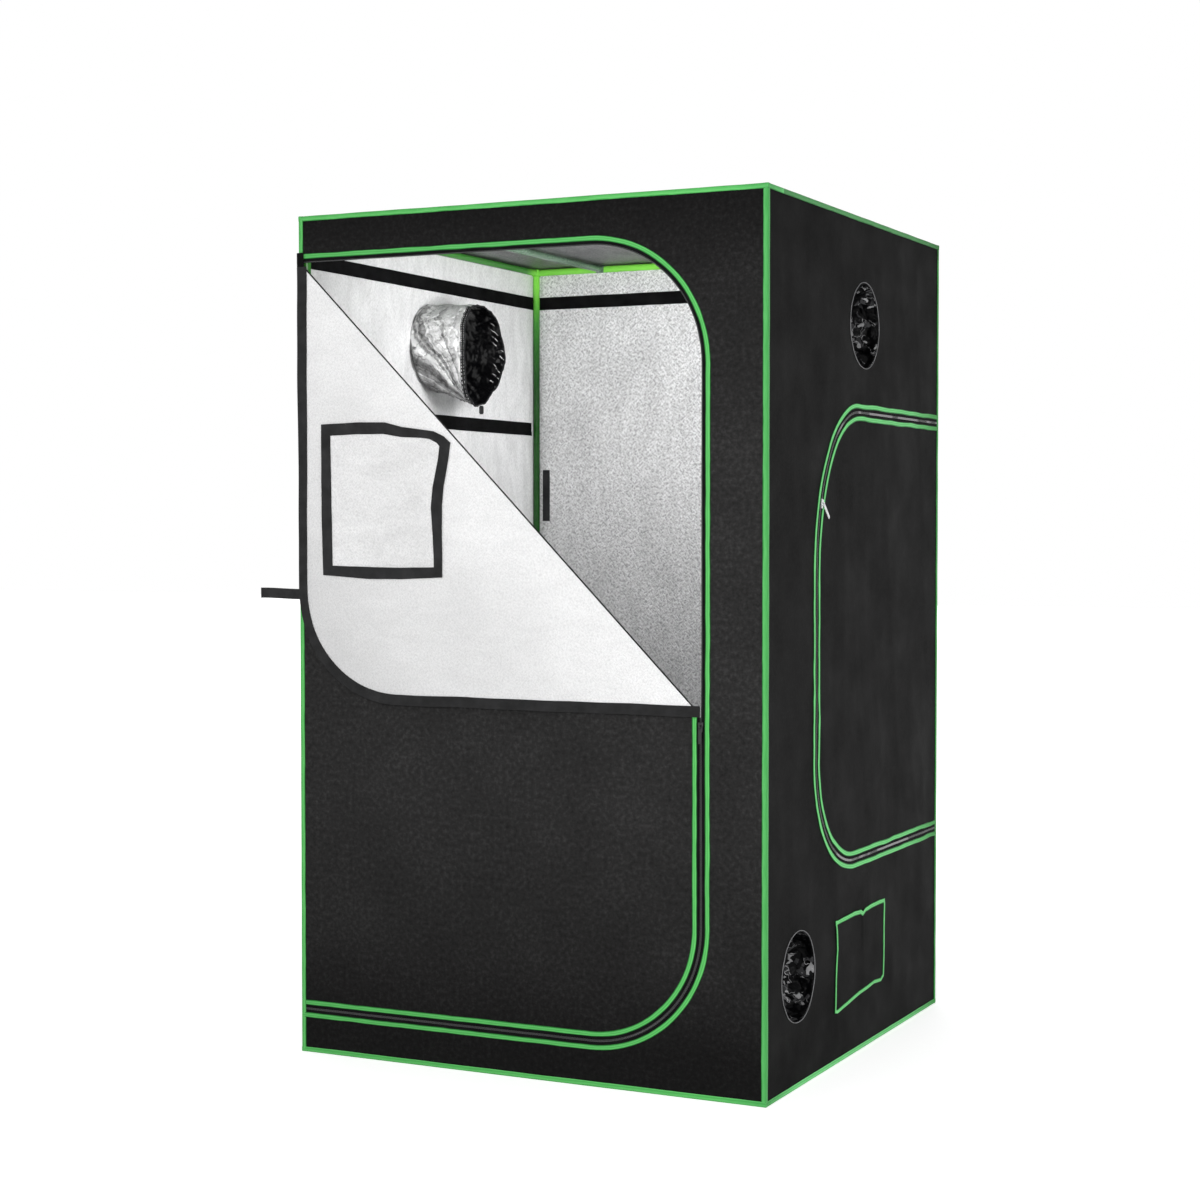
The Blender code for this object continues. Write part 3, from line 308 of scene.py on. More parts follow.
def sock_lining(name, gathered):
    """The black glossy side of the duct socks, with painted glints: painted highlights on the gathers
    at an open mouth, and on the creases where the sock is tied shut."""
    m = Material(name, (0.003, 0.003, 0.0035), 0.30, specular=0.18 if gathered else 0.05)
    where = m.coordinates("Object")
    stir = where.stirred(30.0, 0.016 if gathered else 0.05)
    folds = stir.noise(30, 2.0, 0.5)
    some = where.noise(52 if gathered else 24, 2.0)
    if gathered:
        ribs = ((stir.axis(2) + stir.axis(0) * 0.9) * 330.0).math("SINE")
        mouth = (where.axis(0) + 1.0).ramp((0.512, 0.0), (0.524, 1.0))
        mouth = mouth * where.axis(1).ramp((0.078, 0.0), (0.095, 1.0))
        glint = ribs.ramp((0.70, 0.0), (0.96, 0.85)) * mouth * some.ramp((0.44, 0.0), (0.52, 1.0))
    else:
        cells = m.node("TexVoronoi", output=1, Vector=stir, Scale=85.0).axis(0)
        facets = cells.ramp((0.60, 0.0), (0.66, 0.40), (0.93, 0.50), (0.97, 0.80))
        creases = abs(folds - 0.5).ramp((0.0, 0.95), (0.012, 0.5), (0.022, 0.0))
        glint = some.ramp((0.48, 0.0), (0.51, 1.0)) * facets.math("MAXIMUM", creases)
    # Painted highlights: the colour is black, lit to white where the glint masks are
    shade = glint.ramp(
        (0.0, (0.0015, 0.0015, 0.0018)),
        (0.45, (0.040, 0.040, 0.042)),
        (0.75, (0.22, 0.22, 0.225)),
        (1.0, (0.75, 0.75, 0.76)),
    )
    m.link(shade, "Base Color")
    m.bump(folds, 0.8, 0.012)
    return m.data


def sock_hem():
    """The black band sewn round the open sock's mouth, with its two rows of pale stitches."""
    m = Material("sock_hem", (0.006, 0.006, 0.0065), 0.6, specular=0.3)
    uv = m.coordinates()
    depth = uv.axis(1)
    near, far = abs(depth - 0.1452) < 0.0008, abs(depth - 0.1522) < 0.0006
    rows = near.math("ADD", far, True) * (uv.wave(48, "X") > 0.45)
    cloth = uv.noise(60, 3.0).ramp((0.35, 0.003), (0.70, 0.022))
    m.link(m.mix(rows, cloth, (0.55, 0.55, 0.56, 1)), "Base Color")
    m.bump(rows + uv.wave(60, "X", 2.0), 0.5, 0.001)
    return m.data


def tape_green():
    """Ribbed binding tape with a row of stitches, its colour painted light and shade: a painted
    highlight along its middle and painted shade at its folded edges. It is painted brighter along
    the tent's right side, and painted shade darkens it under the roof's edge and round the near corner."""
    m = Material("binding_green", (0.10, 0.60, 0.12), 0.55, specular=0.2)
    uv = m.coordinates()
    along = uv.axis(1)
    across = along + (m.coordinates(scale=(16, 2, 1)).noise(1.0, 3.0) - 0.5) * 0.30
    # Painted highlight along the tape's middle and painted shade at its folded edges
    painted_tape_light = across.ramp(
        (0.00, (0.002, 0.045, 0.005)),
        (0.08, (0.020, 0.260, 0.035)),
        (0.22, (0.150, 0.630, 0.165)),
        (0.45, (0.070, 0.440, 0.088)),
        (0.66, (0.140, 0.600, 0.158)),
        (0.88, (0.030, 0.300, 0.045)),
        (1.00, (0.002, 0.040, 0.005)),
    )
    # Painted light: brighter along the right side, darker round the near corner
    where = m.coordinates("Object")
    round_corner = where.axis(0) + where.axis(1) * 0.6
    side = (1.95, 1.50, 2.10)
    level = ((round_corner + 1.0) * 0.5).ramp(
        (0.02, 0.86), (0.56, 1.0), (0.63, (0.74, 0.80, 0.85)),
        (0.68, side), (0.92, side), (0.98, (0.60, 0.74, 0.66)),
    )
    # Painted shade on the top tapes towards the right and the rear
    eaves_shade = (where.axis(2) > 1.99) * (round_corner > 0.30)
    painted_tape_light = painted_tape_light.times(m.mix(eaves_shade * 0.65, level, (0.10, 0.16, 0.10, 1)))
    stitches = (uv.wave(62, "X") > 0.42) * (abs(along - 0.74) < 0.045)
    m.link(m.mix(stitches * 0.45, painted_tape_light, (0.13, 0.58, 0.16, 1)), "Base Color")
    m.bump(uv.wave(260, "X", 0.2) * 0.5 + stitches, 0.5, 0.0006)
    return m.data


def webbing(name, colour, specular=0.2):
    m = Material(name, colour, 0.75, specular=specular)
    uv = m.coordinates()
    worn, lifted = (tuple(c * k for c in colour) for k in (0.7, 2.4))
    m.link(uv.noise(22, 3.0, 0.6).ramp((0.3, worn), (0.75, lifted)), "Base Color")
    m.bump(uv.wave(150, "X", 0.3) + uv.wave(190, "Y", 0.3), 0.5, 0.0005)
    return m.data


def zip_chain(name, worn):
    """The zip's coil: glossy slanting turns, with painted glints in patches where it runs across,
    near the top and foot of the side doors.
    """
    m = Material(name, (0.014, 0.014, 0.015), 0.28)
    turns = m.coordinates(turn=math.radians(12)).wave(150, "X")
    shade = turns.ramp((0.2, 0.004), (0.8, (0.030, 0.030, 0.032)))
    if worn:
        # Painted glints: bright patches of coil near the top and foot of the side doors, where it runs
        # across
        where = m.coordinates("Object")
        ends = abs(where.axis(2) - 1.02).ramp((0.47, 0.0), (0.51, 1.0))
        glint_patches = where.noise(9, 2.0).ramp((0.44, 0.0), (0.50, 1.0)) * ends
        shade = m.mix(glint_patches, shade, turns.ramp((0.2, (0.20, 0.19, 0.20)), (0.8, (0.66, 0.63, 0.66))))
    m.link(shade, "Base Color")
    m.bump(turns, 0.9, 0.0008)
    return m.data


def enamel_green():
    """Glossy enamel on steel tube, green with faint scuffs, and painted light: yellower and lighter
    towards the top, most on the rear rail, with painted shade darkening it lower down.
    """
    m = Material("enamel_green", (0.03, 0.30, 0.03), 0.24, coat=0.12, specular=0.25)
    where = m.coordinates("Object")
    scuff = where.noise(60, 4.0, 0.7)
    # Painted light and shade: lighter towards the top, most at the rear, and dark green below
    high = (where.axis(2) - 1.64).math("MULTIPLY", 3.0, True).math("POWER", 2.5)
    rear_light = (where.axis(1) - 0.52).math("MULTIPLY", 20.0, True)
    tone = scuff * 0.14 + high * (rear_light * 0.55 + 0.35) * 0.90
    shade_green, green, lit_lime = (0.004, 0.042, 0.004), (0.040, 0.210, 0.028), (0.200, 0.640, 0.070)
    shade = tone.ramp((0.05, shade_green), (0.40, green), (0.90, lit_lime))
    m.link(shade, "Base Color")
    m.link(scuff.ramp((0.35, 0.16), (0.75, 0.28)), "Roughness")
    m.bump(where.noise(600, 2.0), 0.04, 0.0003)
    return m.data


def hard(name, colour, roughness, metallic):
    """Metal or plastic with a fine scratched grain."""
    m = Material(name, colour, roughness, metallic, coat=0.2)
    dark, light = (tuple(min(1, c * k) for c in colour) for k in (0.75, 1.2))
    m.link(m.coordinates("Object").noise(180, 3.0).ramp((0.3, dark), (0.7, light)), "Base Color")
    scratch = m.coordinates("Object", (1, 1, 0.12)).noise(900, 3.0, 0.7)
    m.link(scratch.ramp((0.3, roughness * 0.8), (0.7, roughness * 1.3)), "Roughness")
    m.bump(scratch, 0.15, 0.0003)
    return m.data


def net_black():
    m = Material("net_black", (0.02, 0.02, 0.02), 0.7)
    uv = m.coordinates()
    grid = uv.wave(120, "X").math("MAXIMUM", uv.wave(120, "Y"))
    m.link(grid.ramp((0.2, 0.008), (0.9, 0.045)), "Base Color")
    m.bump(grid, 0.8, 0.0008)
    return m.data


# How the light falls off along the side walls and up the rear wall
SIDE_LIGHT = (1, ((0.12, 0.62), (0.25, 0.84), (0.40, 1.0)))
BACK_LIGHT = (2, ((0.60, 0.86), (0.75, 1.0), (0.86, 1.30)))
# The oxford in copies painted to their light: the side walls' copy is painted shade, far darker than the one
# in front
BLACK = cloth_black("oxford_black", 1.10)
BLACK_SHADED = cloth_black("oxford_side", 0.22)
# Copies of the one silver film, each painted to the light where it hangs: painted shade greys the film of
# the front, rear and right walls, the base and the tray, and darkens the roof's further; the left wall's and
# the side doors' are painted lit along their length, and the flap's painted shade away from its fold
FILM = film("film_white", (0.90, 0.90, 0.905), 0.42, 0.05, 0.35, 0.07, 0.10)
FILM_FLAP = film("film_flap", (0.89, 0.89, 0.893), 0.45, 0.03, 0.6, 0.11, 0.05, 0.0030, True)
FILM_SIDE_LIT = film("film_side", (0.86, 0.86, 0.865), 0.40, 0.10, 0.7, 0.12, 0.13, 0.0046, lit=SIDE_LIGHT)
FILM_SHADED = film("film_grey", (0.58, 0.58, 0.584), 0.38, 0.25, 1.0, 0.42, 0.12, 0.0046, lit=BACK_LIGHT)
FILM_ROOF_SHADED = film("film_roof", (0.20, 0.20, 0.205), 0.40, 0.35, 0.9, 0.45, 0.40, 0.0060)
PANE = film("pane_silver", (0.82, 0.82, 0.823), 0.36, 0.08, 0.7, 0.13, 0.10, 0.0034)
SOCK_SHADED = crinkled_film()
LINING = sock_lining("sock_lining", True)
TIED = sock_lining("tied_lining", False)
HEM = sock_hem()
GREEN = tape_green()
WEBBING = webbing("webbing_black", (0.012, 0.012, 0.0125))
ZIP_TAPE = webbing("zip_tape", (0.0045, 0.0045, 0.0048), 0.05)
BAND = webbing("band_black", (0.0035, 0.0035, 0.0037), 0.05)
EDGING = webbing("edging_black", (0.010, 0.010, 0.0103))
RIM = webbing("rim_grey", (0.16, 0.16, 0.165))
COIL = zip_chain("zip_coil", False)
COIL_GLINTS = zip_chain("zip_coil_worn", True)
ENAMEL = enamel_green()
# Painted highlight: the crossbars' green enamel is greyed towards white
BAR_HIGHLIGHTED = hard("bar_green", (0.110, 0.190, 0.125), 0.25, 0.25)
ZIP_BLACK = hard("zip_enamel", (0.015, 0.015, 0.016), 0.32, 0.4)
PLASTIC = hard("lock_plastic", (0.010, 0.010, 0.0105), 0.55, 0.0)
ZIP_SILVER = hard("zip_plated", (0.80, 0.80, 0.81), 0.22, 0.6)
NET = net_black()


# Outlines, repeated from the solids


def arc(centre, radii, start, end, steps=26):
    points = []
    for i in range(steps + 1):
        angle = math.radians(start + (end - start) * i / steps)
        points.append((centre[0] + radii[0] * math.cos(angle), centre[1] + radii[1] * math.sin(angle)))
    return points


def circle(centre, radius, sides=64):
    return arc(centre, (radius, radius), 0, 360 * (sides - 1) / sides, sides - 1)


def rectangle(left, right, low, high):
    return [(left, low), (right, low), (right, high), (left, high)]


def offset_line(line, distance):
    """A line moved to its left; distance is a number, or one for each point."""
    points = np.array(line)
    steps = np.diff(points, axis=0)
    steps /= np.linalg.norm(steps, axis=1)[:, None]
    normals = np.stack([-steps[:, 1], steps[:, 0]], axis=1)
    before = np.vstack([normals[:1], normals])
    after = np.vstack([normals, normals[-1:]])
    scale = np.asarray(distance) / (1 + (before * after).sum(1))
    return points + (before + after) * scale[:, None]


def zip_line(door, hinge, offset=0.0):
    """Points along a D-shaped zip, anticlockwise, ending on its hinge line."""
    side = door["side"]
    far, top, bottom = side * door["far"], door["top"], door["bottom"]
    low_u, low_v = door["bottom_corner"]
    top_u, top_v = door["top_corner"]
    points = [(side * hinge, bottom)]
    points += arc((far - low_u, bottom + low_v), (low_u, low_v), -90, 0)
    points += arc((far - top_u, top - top_v), (top_u, top_v), 0, 90)
    points.append((side * hinge, top))
    if side < 0:
        points = [(-u, v) for u, v in reversed(points)]
    return [tuple(p) for p in offset_line(points, offset)]


def clipped(outline, level, sign):
    """The part of an outline where sign * (u + v - level) is not above zero."""
    kept = []
    for i, point in enumerate(outline):
        before = outline[i - 1]
        here = sign * (point[0] + point[1] - level)
        there = sign * (before[0] + before[1] - level)
        if here * there < 0:
            share = there / (there - here)
            kept.append(tuple(b + (p - b) * share for p, b in zip(point, before)))
        if here <= 0:
            kept.append(tuple(point))
    return kept


def split_line(line, level):
    """A line's part below its first crossing of u + v = level on the way up, and the rest."""
    for i in range(1, len(line)):
        before = line[i - 1][0] + line[i - 1][1] - level
        after = line[i][0] + line[i][1] - level
        if before < 0 <= after and line[i][1] > line[0][1]:
            share = before / (before - after)
            crossing = tuple(a + (b - a) * share for a, b in zip(line[i - 1], line[i]))
            return line[:i] + [crossing], [crossing] + line[i:]
    return line, []


def resampled(line, step, closed=False):
    """The same line with no stretch longer than the step."""
    points = []
    ends = list(line) + ([line[0]] if closed else [])
    for a, b in zip(ends, ends[1:]):
        count = max(1, math.ceil(math.dist(a, b) / step))
        points += [tuple(p + (q - p) * k / count for p, q in zip(a, b)) for k in range(count)]
    return points if closed else points + [tuple(ends[-1])]


# Places: each maps a point of a cloth's plane and its height above the outer face to the world


def front(u, v, n):
    return (u, -WALL - n, v)


def back(u, v, n):
    return (u, WALL + n, v)


def left(u, v, n):
    return (-WALL - n, u, v)


def right(u, v, n):
    return (WALL + n, u, v)


def roof(u, v, n):
    return (u, v, ROOF_TOP + n)


def base(u, v, n):
    return (u, v, -n)


def folded(u, v, n):
    """The front door's flap, turned down about its slanting fold."""
    return (FOLD_SUM - v, 2 * FOLD_Y + WALL + n, FOLD_SUM - u)


# How far each cloth stands from its plane


def ease(t):
    t = max(0.0, min(1.0, t))
    return t * t * (3 - 2 * t)


def lie(u, v, seed, box, size=1.0):
    """A stretched wall's height over its plane: slack between its edges, soft upright creases,
    pressed folds from its packing, and short pulls towards its corners."""
    low_u, high_u, low_v, high_v = box
    rim = min(u - low_u, high_u - u, v - low_v, high_v - v)
    hold = ease((rim - 0.02) / 0.07)
    across, up = (u - low_u) / (high_u - low_u), (v - low_v) / (high_v - low_v)
    slack = 0.0012 * math.sin(math.pi * across) * math.sin(math.pi * up)
    drift = noise.noise(Vector((u * 2.2, v * 1.1, seed)))
    long = noise.noise(Vector((u * 13, v * 2.1 + drift, seed + 3)))
    short = noise.noise(Vector((u * 27 + drift * 2, v * 17, seed + 7)))
    crease = (1 - abs(noise.noise(Vector((u * 7 + drift, v * 1.3, seed + 11))))) ** 14
    pressed = 0.0
    for at, folds in ((u, (-0.31, 0.02, 0.33)), (v, (0.42, 0.83, 1.24, 1.65))):
        pressed += sum(math.exp(-(((at - fold - 0.012 * drift) / 0.006) ** 2)) for fold in folds)
    height = slack + 0.0011 * long + 0.0005 * short + 0.0009 * crease + 0.0004 * pressed * (0.4 + drift)
    return size * hold * height


TENT_BOX = (-WALL, WALL, FOOT, HEAD)




def roof_lie(u, v):
    sag = 0.002 * ease((0.55 - max(abs(u), abs(v))) / 0.3)
    return lie(u, v, 81.0, (-WALL, WALL, -WALL, WALL), 0.7) - sag


def flap_lie(u, v):
    """The flap hangs from its fold: tight along the fold, waved along its free edges."""
    x, z = FOLD_SUM - v, FOLD_SUM - u
    along = (x - z) * 0.7071
    down = (FOLD_SUM - x - z) * 0.7071
    hang = ease(down / 0.25) * ease((x + 0.608) / 0.045)
    broad = noise.noise(Vector((along * 2.4, down * 1.2, 5.0)))
    soft = noise.noise(Vector((x * 9, z * 3.0, 9.0)))
    small = noise.noise(Vector((x * 26, z * 17, 15.0)))
    pull = math.exp(-(((x + 0.33 + (z - 1.5) * 0.55) / 0.05) ** 2)) * ease((1.75 - z) / 0.3)
    return -(0.0022 + 0.0032 * broad + 0.0014 * soft + 0.0005 * small + 0.0016 * pull) * hang


# What cloths and tapes lie on: a place, and the height over its plane
FRONT, BACK, LEFT, RIGHT = (
    (place, lambda u, v, seed=seed: lie(u, v, seed, TENT_BOX))
    for place, seed in ((front, 1.0), (back, 21.0), (left, 41.0), (right, 61.0))
)
FLAP = (folded, flap_lie)
SIDES = (("left", LEFT), ("right", RIGHT))


# Builders


def mesh_object(name, verts, faces, finishes, face_slots=None, uvs=None, smooth=40.0):
    mesh = bpy.data.meshes.new(name)
    mesh.from_pydata([tuple(p) for p in verts], [], [tuple(f) for f in faces])
    for finish in finishes:
        mesh.materials.append(finish)
    if face_slots is not None:
        mesh.polygons.foreach_set("material_index", np.asarray(face_slots, dtype=np.int32))
    if uvs is not None:
        layer = mesh.uv_layers.new(name="UVMap")
        index = np.empty(len(mesh.loops), dtype=np.int32)
        mesh.loops.foreach_get("vertex_index", index)
        layer.data.foreach_set("uv", np.asarray(uvs, dtype=np.float32)[index].ravel())
    mesh.validate()
    mesh.shade_smooth()
    mesh.set_sharp_from_angle(angle=math.radians(smooth))
    obj = bpy.data.objects.new(name, mesh)
    bpy.context.scene.collection.objects.link(obj)
    return obj


def inside_of(points, polygon):
    """Whether each point lies in the polygon."""
    hit = np.zeros(len(points), dtype=bool)
    px, py = points[:, 0], points[:, 1]
    for (ax, ay), (bx, by) in zip(polygon, polygon[1:] + polygon[:1]):
        spans = (ay > py) != (by > py)
        if ay != by:
            hit ^= spans & (px < (bx - ax) * (py - ay) / (by - ay) + ax)
    return hit


def plain_area(polygon):
    total = 0.0
    for (ax, ay), (bx, by) in zip(polygon, polygon[1:] + polygon[:1]):
        total += ax * by - bx * ay
    return abs(total) / 2


def sheet(name, outline, surface, finishes, holes=(), thick=FABRIC, step=0.016, bottom=0.0):
    """A cloth panel cut to an outline: an outer face, an inner face and a rim between them.
    Its outer face stands at bottom + height over its plane, and its UVs are in metres."""
    place, height = surface
    rings = [resampled(ring, step, True) for ring in (outline, *holes)]
    points, edges = [], []
    for ring in rings:
        start = len(points)
        points += ring
        edges += [(start + i, start + (i + 1) % len(ring)) for i in range(len(ring))]
    border = np.array(points)
    low, high = border.min(0), border.max(0)
    grid_u = np.arange(low[0] + step / 2, high[0], step)
    grid_v = np.arange(low[1] + step / 2, high[1], step)
    grid = np.array(np.meshgrid(grid_u, grid_v)).reshape(2, -1).T
    keep = inside_of(grid, rings[0])
    for ring in rings[1:]:
        keep &= ~inside_of(grid, ring)
    for point in border:
        keep &= np.abs(grid - point).max(1) > step * 0.42
    points += [tuple(p) for p in grid[keep]]
    made, _, triangles, *_ = delaunay_2d_cdt([Vector(p) for p in points], edges, [], 0, 1e-7)
    flat = np.array([tuple(p) for p in made])
    faces = np.array([f for f in triangles if len(f) == 3])
    middle = flat[faces].mean(1)
    good = inside_of(middle, rings[0])
    for ring in rings[1:]:
        good &= ~inside_of(middle, ring)
    a, b, c = (flat[faces[:, k]] for k in range(3))
    size = (b[:, 0] - a[:, 0]) * (c[:, 1] - a[:, 1]) - (b[:, 1] - a[:, 1]) * (c[:, 0] - a[:, 0])
    faces = faces[good & (np.abs(size) > 1e-12)]
    heights = [bottom + height(u, v) for u, v in flat]
    outer = [place(u, v, n) for (u, v), n in zip(flat, heights)]
    inner = [place(u, v, n - thick) for (u, v), n in zip(flat, heights)]
    count = len(flat)
    flip = Vector(place(1, 0, 0)) - Vector(place(0, 0, 0))
    flip = flip.cross(Vector(place(0, 1, 0)) - Vector(place(0, 0, 0)))
    if flip.dot(Vector(place(0, 0, 1)) - Vector(place(0, 0, 0))) < 0:
        faces = faces[:, ::-1]
    ends = np.vstack([faces[:, [0, 1]], faces[:, [1, 2]], faces[:, [2, 0]]])
    known = {(int(p), int(q)) for p, q in ends}
    rim = [(p, q) for p, q in known if (q, p) not in known]
    quads = [(q, p, p + count, q + count) for p, q in rim]
    everything = [tuple(f) for f in faces] + [tuple(f[::-1] + count) for f in faces] + quads
    slots = [0] * len(faces) + [1 if len(finishes) > 1 else 0] * len(faces) + [0] * len(quads)
    return mesh_object(name, outer + inner, everything, finishes, slots, np.vstack([flat, flat]))


def sweep(name, rings, across, finish):
    """A long piece through rings of points; across gives each ring point's UV over its width."""
    count = len(rings[0])
    verts, uvs, faces = [], [], []
    travel = 0.0
    for k, ring in enumerate(rings):
        if k:
            travel += (Vector(ring[0]) - Vector(rings[k - 1][0])).length
        verts += [tuple(p) for p in ring]
        uvs += [(travel, w) for w in across]
    last = len(rings) - 1
    for k in range(last):
        here, there = k * count, (k + 1) * count
        for i in range(count):
            j = (i + 1) % count
            faces.append((here + i, here + j, there + j, there + i))
    faces.append(tuple(range(count))[::-1])
    faces.append(tuple(last * count + i for i in range(count)))
    obj = mesh_object(name, verts, faces, [finish], uvs=uvs, smooth=50.0)
    settle_normals(obj)
    return obj


def settle_normals(obj):
    form = bmesh.new()
    form.from_mesh(obj.data)
    bmesh.ops.recalc_face_normals(form, faces=form.faces)
    form.to_mesh(obj.data)
    form.free()


# Cross-sections as (distance across, height), outer side first, then back under it
TAPE_SHAPE = [(-6, 0), (-6, 0.8), (-5.2, 1.35), (-3.2, 1.6), (-0.6, 1.65), (1.8, 1.5)]
TAPE_SHAPE += [(3.4, 1.15), (4.2, 1.0), (5.0, 1.2), (5.8, 0.8), (6, 0)]
FLAT_SHAPE = [(0, 0), (0, 0.75), (0.08, 1), (0.5, 1), (0.92, 1), (1, 0.75), (1, 0)]


def wander(line, pitch, seed, height):
    """Noise at each point of a line, by the way run to it."""
    run = np.concatenate([[0], np.cumsum(np.linalg.norm(np.diff(np.array(line), axis=0), axis=1))])
    return np.array([noise.noise(Vector((s * pitch, seed, height))) for s in run])


def ribbon(name, line, surface, finish, middle, bottom=SEAT, wave=0.0005, seed=0.0, scale=1.0):
    """Bound tape along a line, its middle at an offset to the line's left, riding on the cloth."""
    place, height = surface
    line = resampled(line, 0.010)
    stray, plump = wander(line, 11, seed, 0.0) * wave, wander(line, 17, seed, 4.0)
    columns = []
    for across, up in TAPE_SHAPE:
        moved = offset_line(line, middle + stray + across * MM * scale * (1 + 0.10 * plump))
        rise = up * MM * (1 + 0.22 * plump)
        columns.append([place(u, v, bottom + height(u, v) + r) for (u, v), r in zip(moved, rise)])
    rings = list(zip(*columns))
    low, high = TAPE_SHAPE[0][0], TAPE_SHAPE[-1][0]
    return sweep(name, rings, [(across - low) / (high - low) for across, _ in TAPE_SHAPE], finish)


def strip(name, line, surface, finish, near, far, thick, bottom, wave=0.0, seed=0.0):
    """A flat tape between two offsets to the line's left. A negative thickness puts it inside."""
    place, height = surface
    line = resampled(line, TAPE_STEP)
    stray = wander(line, 9, seed, 2.0) * wave
    columns = []
    for share, up in FLAT_SHAPE:
        moved = offset_line(line, near + (far - near) * share + stray)
        columns.append([place(u, v, bottom + height(u, v) + up * thick) for u, v in moved])
    rings = list(zip(*columns))
    width = float(np.mean(np.abs(far - near)))
    return sweep(name, rings, [share * width for share, _ in FLAT_SHAPE], finish)


def joined(name, parts):
    """Several meshes as one object."""
    first = parts[0]
    chosen = {"selected_objects": parts, "selected_editable_objects": parts}
    with bpy.context.temp_override(active_object=first, object=first, **chosen):
        bpy.ops.object.join()
    first.name = first.data.name = name
    return first


def stand_for(obj, body, slot, *nodes):
    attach(obj, body)
    if nodes:
        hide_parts(*nodes)
    return obj


def declare(outline, holes):
    """Works out a cloth's flat size by its outline, as a strip of the same height where its openings
    leave less than a third of the rectangle around it; the size is not kept or returned."""
    points = np.array(outline)
    wide, long = (float(c) for c in points.max(0) - points.min(0))
    area = plain_area(outline) - sum(plain_area(hole) for hole in holes)
    if area < 0.33 * wide * long:
        wide = area / long


def panel(name, node, body, slot, held, rests_on, outline, surface, finishes, holes=(), **cut):
    """A sheet that stands for a node; where it is held, its flat size is worked out and not kept."""
    obj = stand_for(sheet(name, outline, surface, finishes, holes, **cut), body, slot, node)
    if held:
        declare(outline, holes)


# Camera, light and floor

# Name, place, target, side and power of each lamp
LAMPS = (
    ("key", (1.4, -5.0, 2.2), (0.0, 0.0, 1.0), 2.2, 97),
    ("corner", (2.8, -1.6, 0.9), (0.61, -0.1, 0.9), 0.9, 18),
    ("left", (-3.2, -3.6, 2.6), (0.0, -0.3, 1.1), 2.2, 24),
    ("rear", (-0.6, 4.2, 3.2), (0.0, 0.4, 1.2), 2.5, 40),
    ("inside", (0.30, -0.44, 1.74), (-0.30, 0.60, 1.84), 0.3, 15),
)


def set_stage():
    scene = bpy.context.scene
    scene.view_settings.view_transform = "Standard"
    data = bpy.data.cameras.new("camera")
    data.sensor_width = 36
    data.lens = 67.08
    camera = bpy.data.objects.new("camera", data)
    camera.location = (2.4378, -5.1622, 1.2799)
    camera.rotation_euler = (math.radians(90 - 1.864), 0, math.radians(26.159))
    scene.collection.objects.link(camera)
    scene.camera = camera

    world = bpy.data.worlds.new("studio")
    world.use_nodes = True
    scene.world = world
    world.node_tree.nodes.clear()
    sky = Graph(world.node_tree)
    soft, white = (sky.node("Background", i0=WHITE, i1=level) for level in (SKY_LEVEL, 1.0))
    shown = sky.node("MixShader", i0=sky.seen_plainly(), i1=soft, i2=white)
    sky.node("OutputWorld", i0=shown)

    for name, place, target, size, power in LAMPS:
        lamp = bpy.data.lights.new(name, "AREA")
        lamp.shape = "SQUARE"
        lamp.size = size
        lamp.energy = power
        obj = bpy.data.objects.new(name, lamp)
        obj.location = place
        obj.rotation_euler = (Vector(target) - Vector(place)).to_track_quat("-Z", "Y").to_euler()
        obj.visible_camera = False
        obj.visible_glossy = name != "inside"
        scene.collection.objects.link(obj)

    m = Material("floor_white", (GROUND_LEVEL,) * 3, 0.9)
    away = m.node("VectorMath", 1, {"operation": "LENGTH"}, i0=m.node("TexCoord", "Object"))
    glow = m.node("MapRange", i0=away, i1=1.5, i2=7.0, i3=0.56, i4=0.92)
    m.link(WHITE, "Emission Color")
    m.link(glow * m.seen_plainly(), "Emission Strength")
    corners = [(u, v, 0) for u, v in rectangle(-30, 30, -30, 30)]
    floor = mesh_object("floor", corners, [(0, 1, 2, 3)], [m.data])
    floor.location.z = -0.0005


# The tent's cloth


def build_walls():
    full = rectangle(-WALL, WALL, FOOT, HEAD)
    reach = INSIDE - SEAT
    narrow = rectangle(-reach, reach, FOOT, HEAD)
    doorway = zip_line(FRONT_DOOR, -STILE, -SEAT / 2)
    side_hole = zip_line(SIDE_DOOR, STILE, -SEAT / 2)
    left_port, right_port, low_port = (circle(port, PORT) for port in (LEFT_PORT, RIGHT_PORT, LOW_PORT))
    low_u, high_u, low_v, high_v = VENT
    vent_hole = rectangle(low_u + VENT_LAP, high_u - VENT_LAP, low_v + VENT_LAP, high_v - VENT_LAP)
    right_holes = [side_hole, right_port, low_port, vent_hole]
    posts = ["post_upper_front_left", "post_upper_back_right"]
    for side, outline, surface, black, silver, holes in (
        ("front", full, FRONT, BLACK, FILM_SHADED, [doorway]),
        ("back", full, BACK, BLACK, FILM_SHADED, []),
        ("left", narrow, LEFT, BLACK_SHADED, FILM_SIDE_LIT, [side_hole, left_port]),
        ("right", narrow, RIGHT, BLACK_SHADED, FILM_SHADED, right_holes),
    ):
        made = (side + "_cloth", "wall_" + side, "tent", "black_cloth", "stretched", posts)
        panel(*made, outline, surface, [black, silver], holes)
    square = rectangle(-WALL, WALL, -WALL, WALL)
    rails = ["top_rail_front", "top_rail_back"]
    made = ("roof_cloth", "roof_panel", "tent", "black_cloth", "stretched", rails)
    panel(*made, square, (roof, roof_lie), [BLACK, FILM_ROOF_SHADED])
    rails = ["bottom_rail_front", "bottom_rail_back"]
    made = ("base_cloth", "base_sheet", "tent", "black_cloth", "laid", rails)
    panel(*made, square, (base, lambda u, v: 0.0), [BLACK, FILM_SHADED], step=0.04)


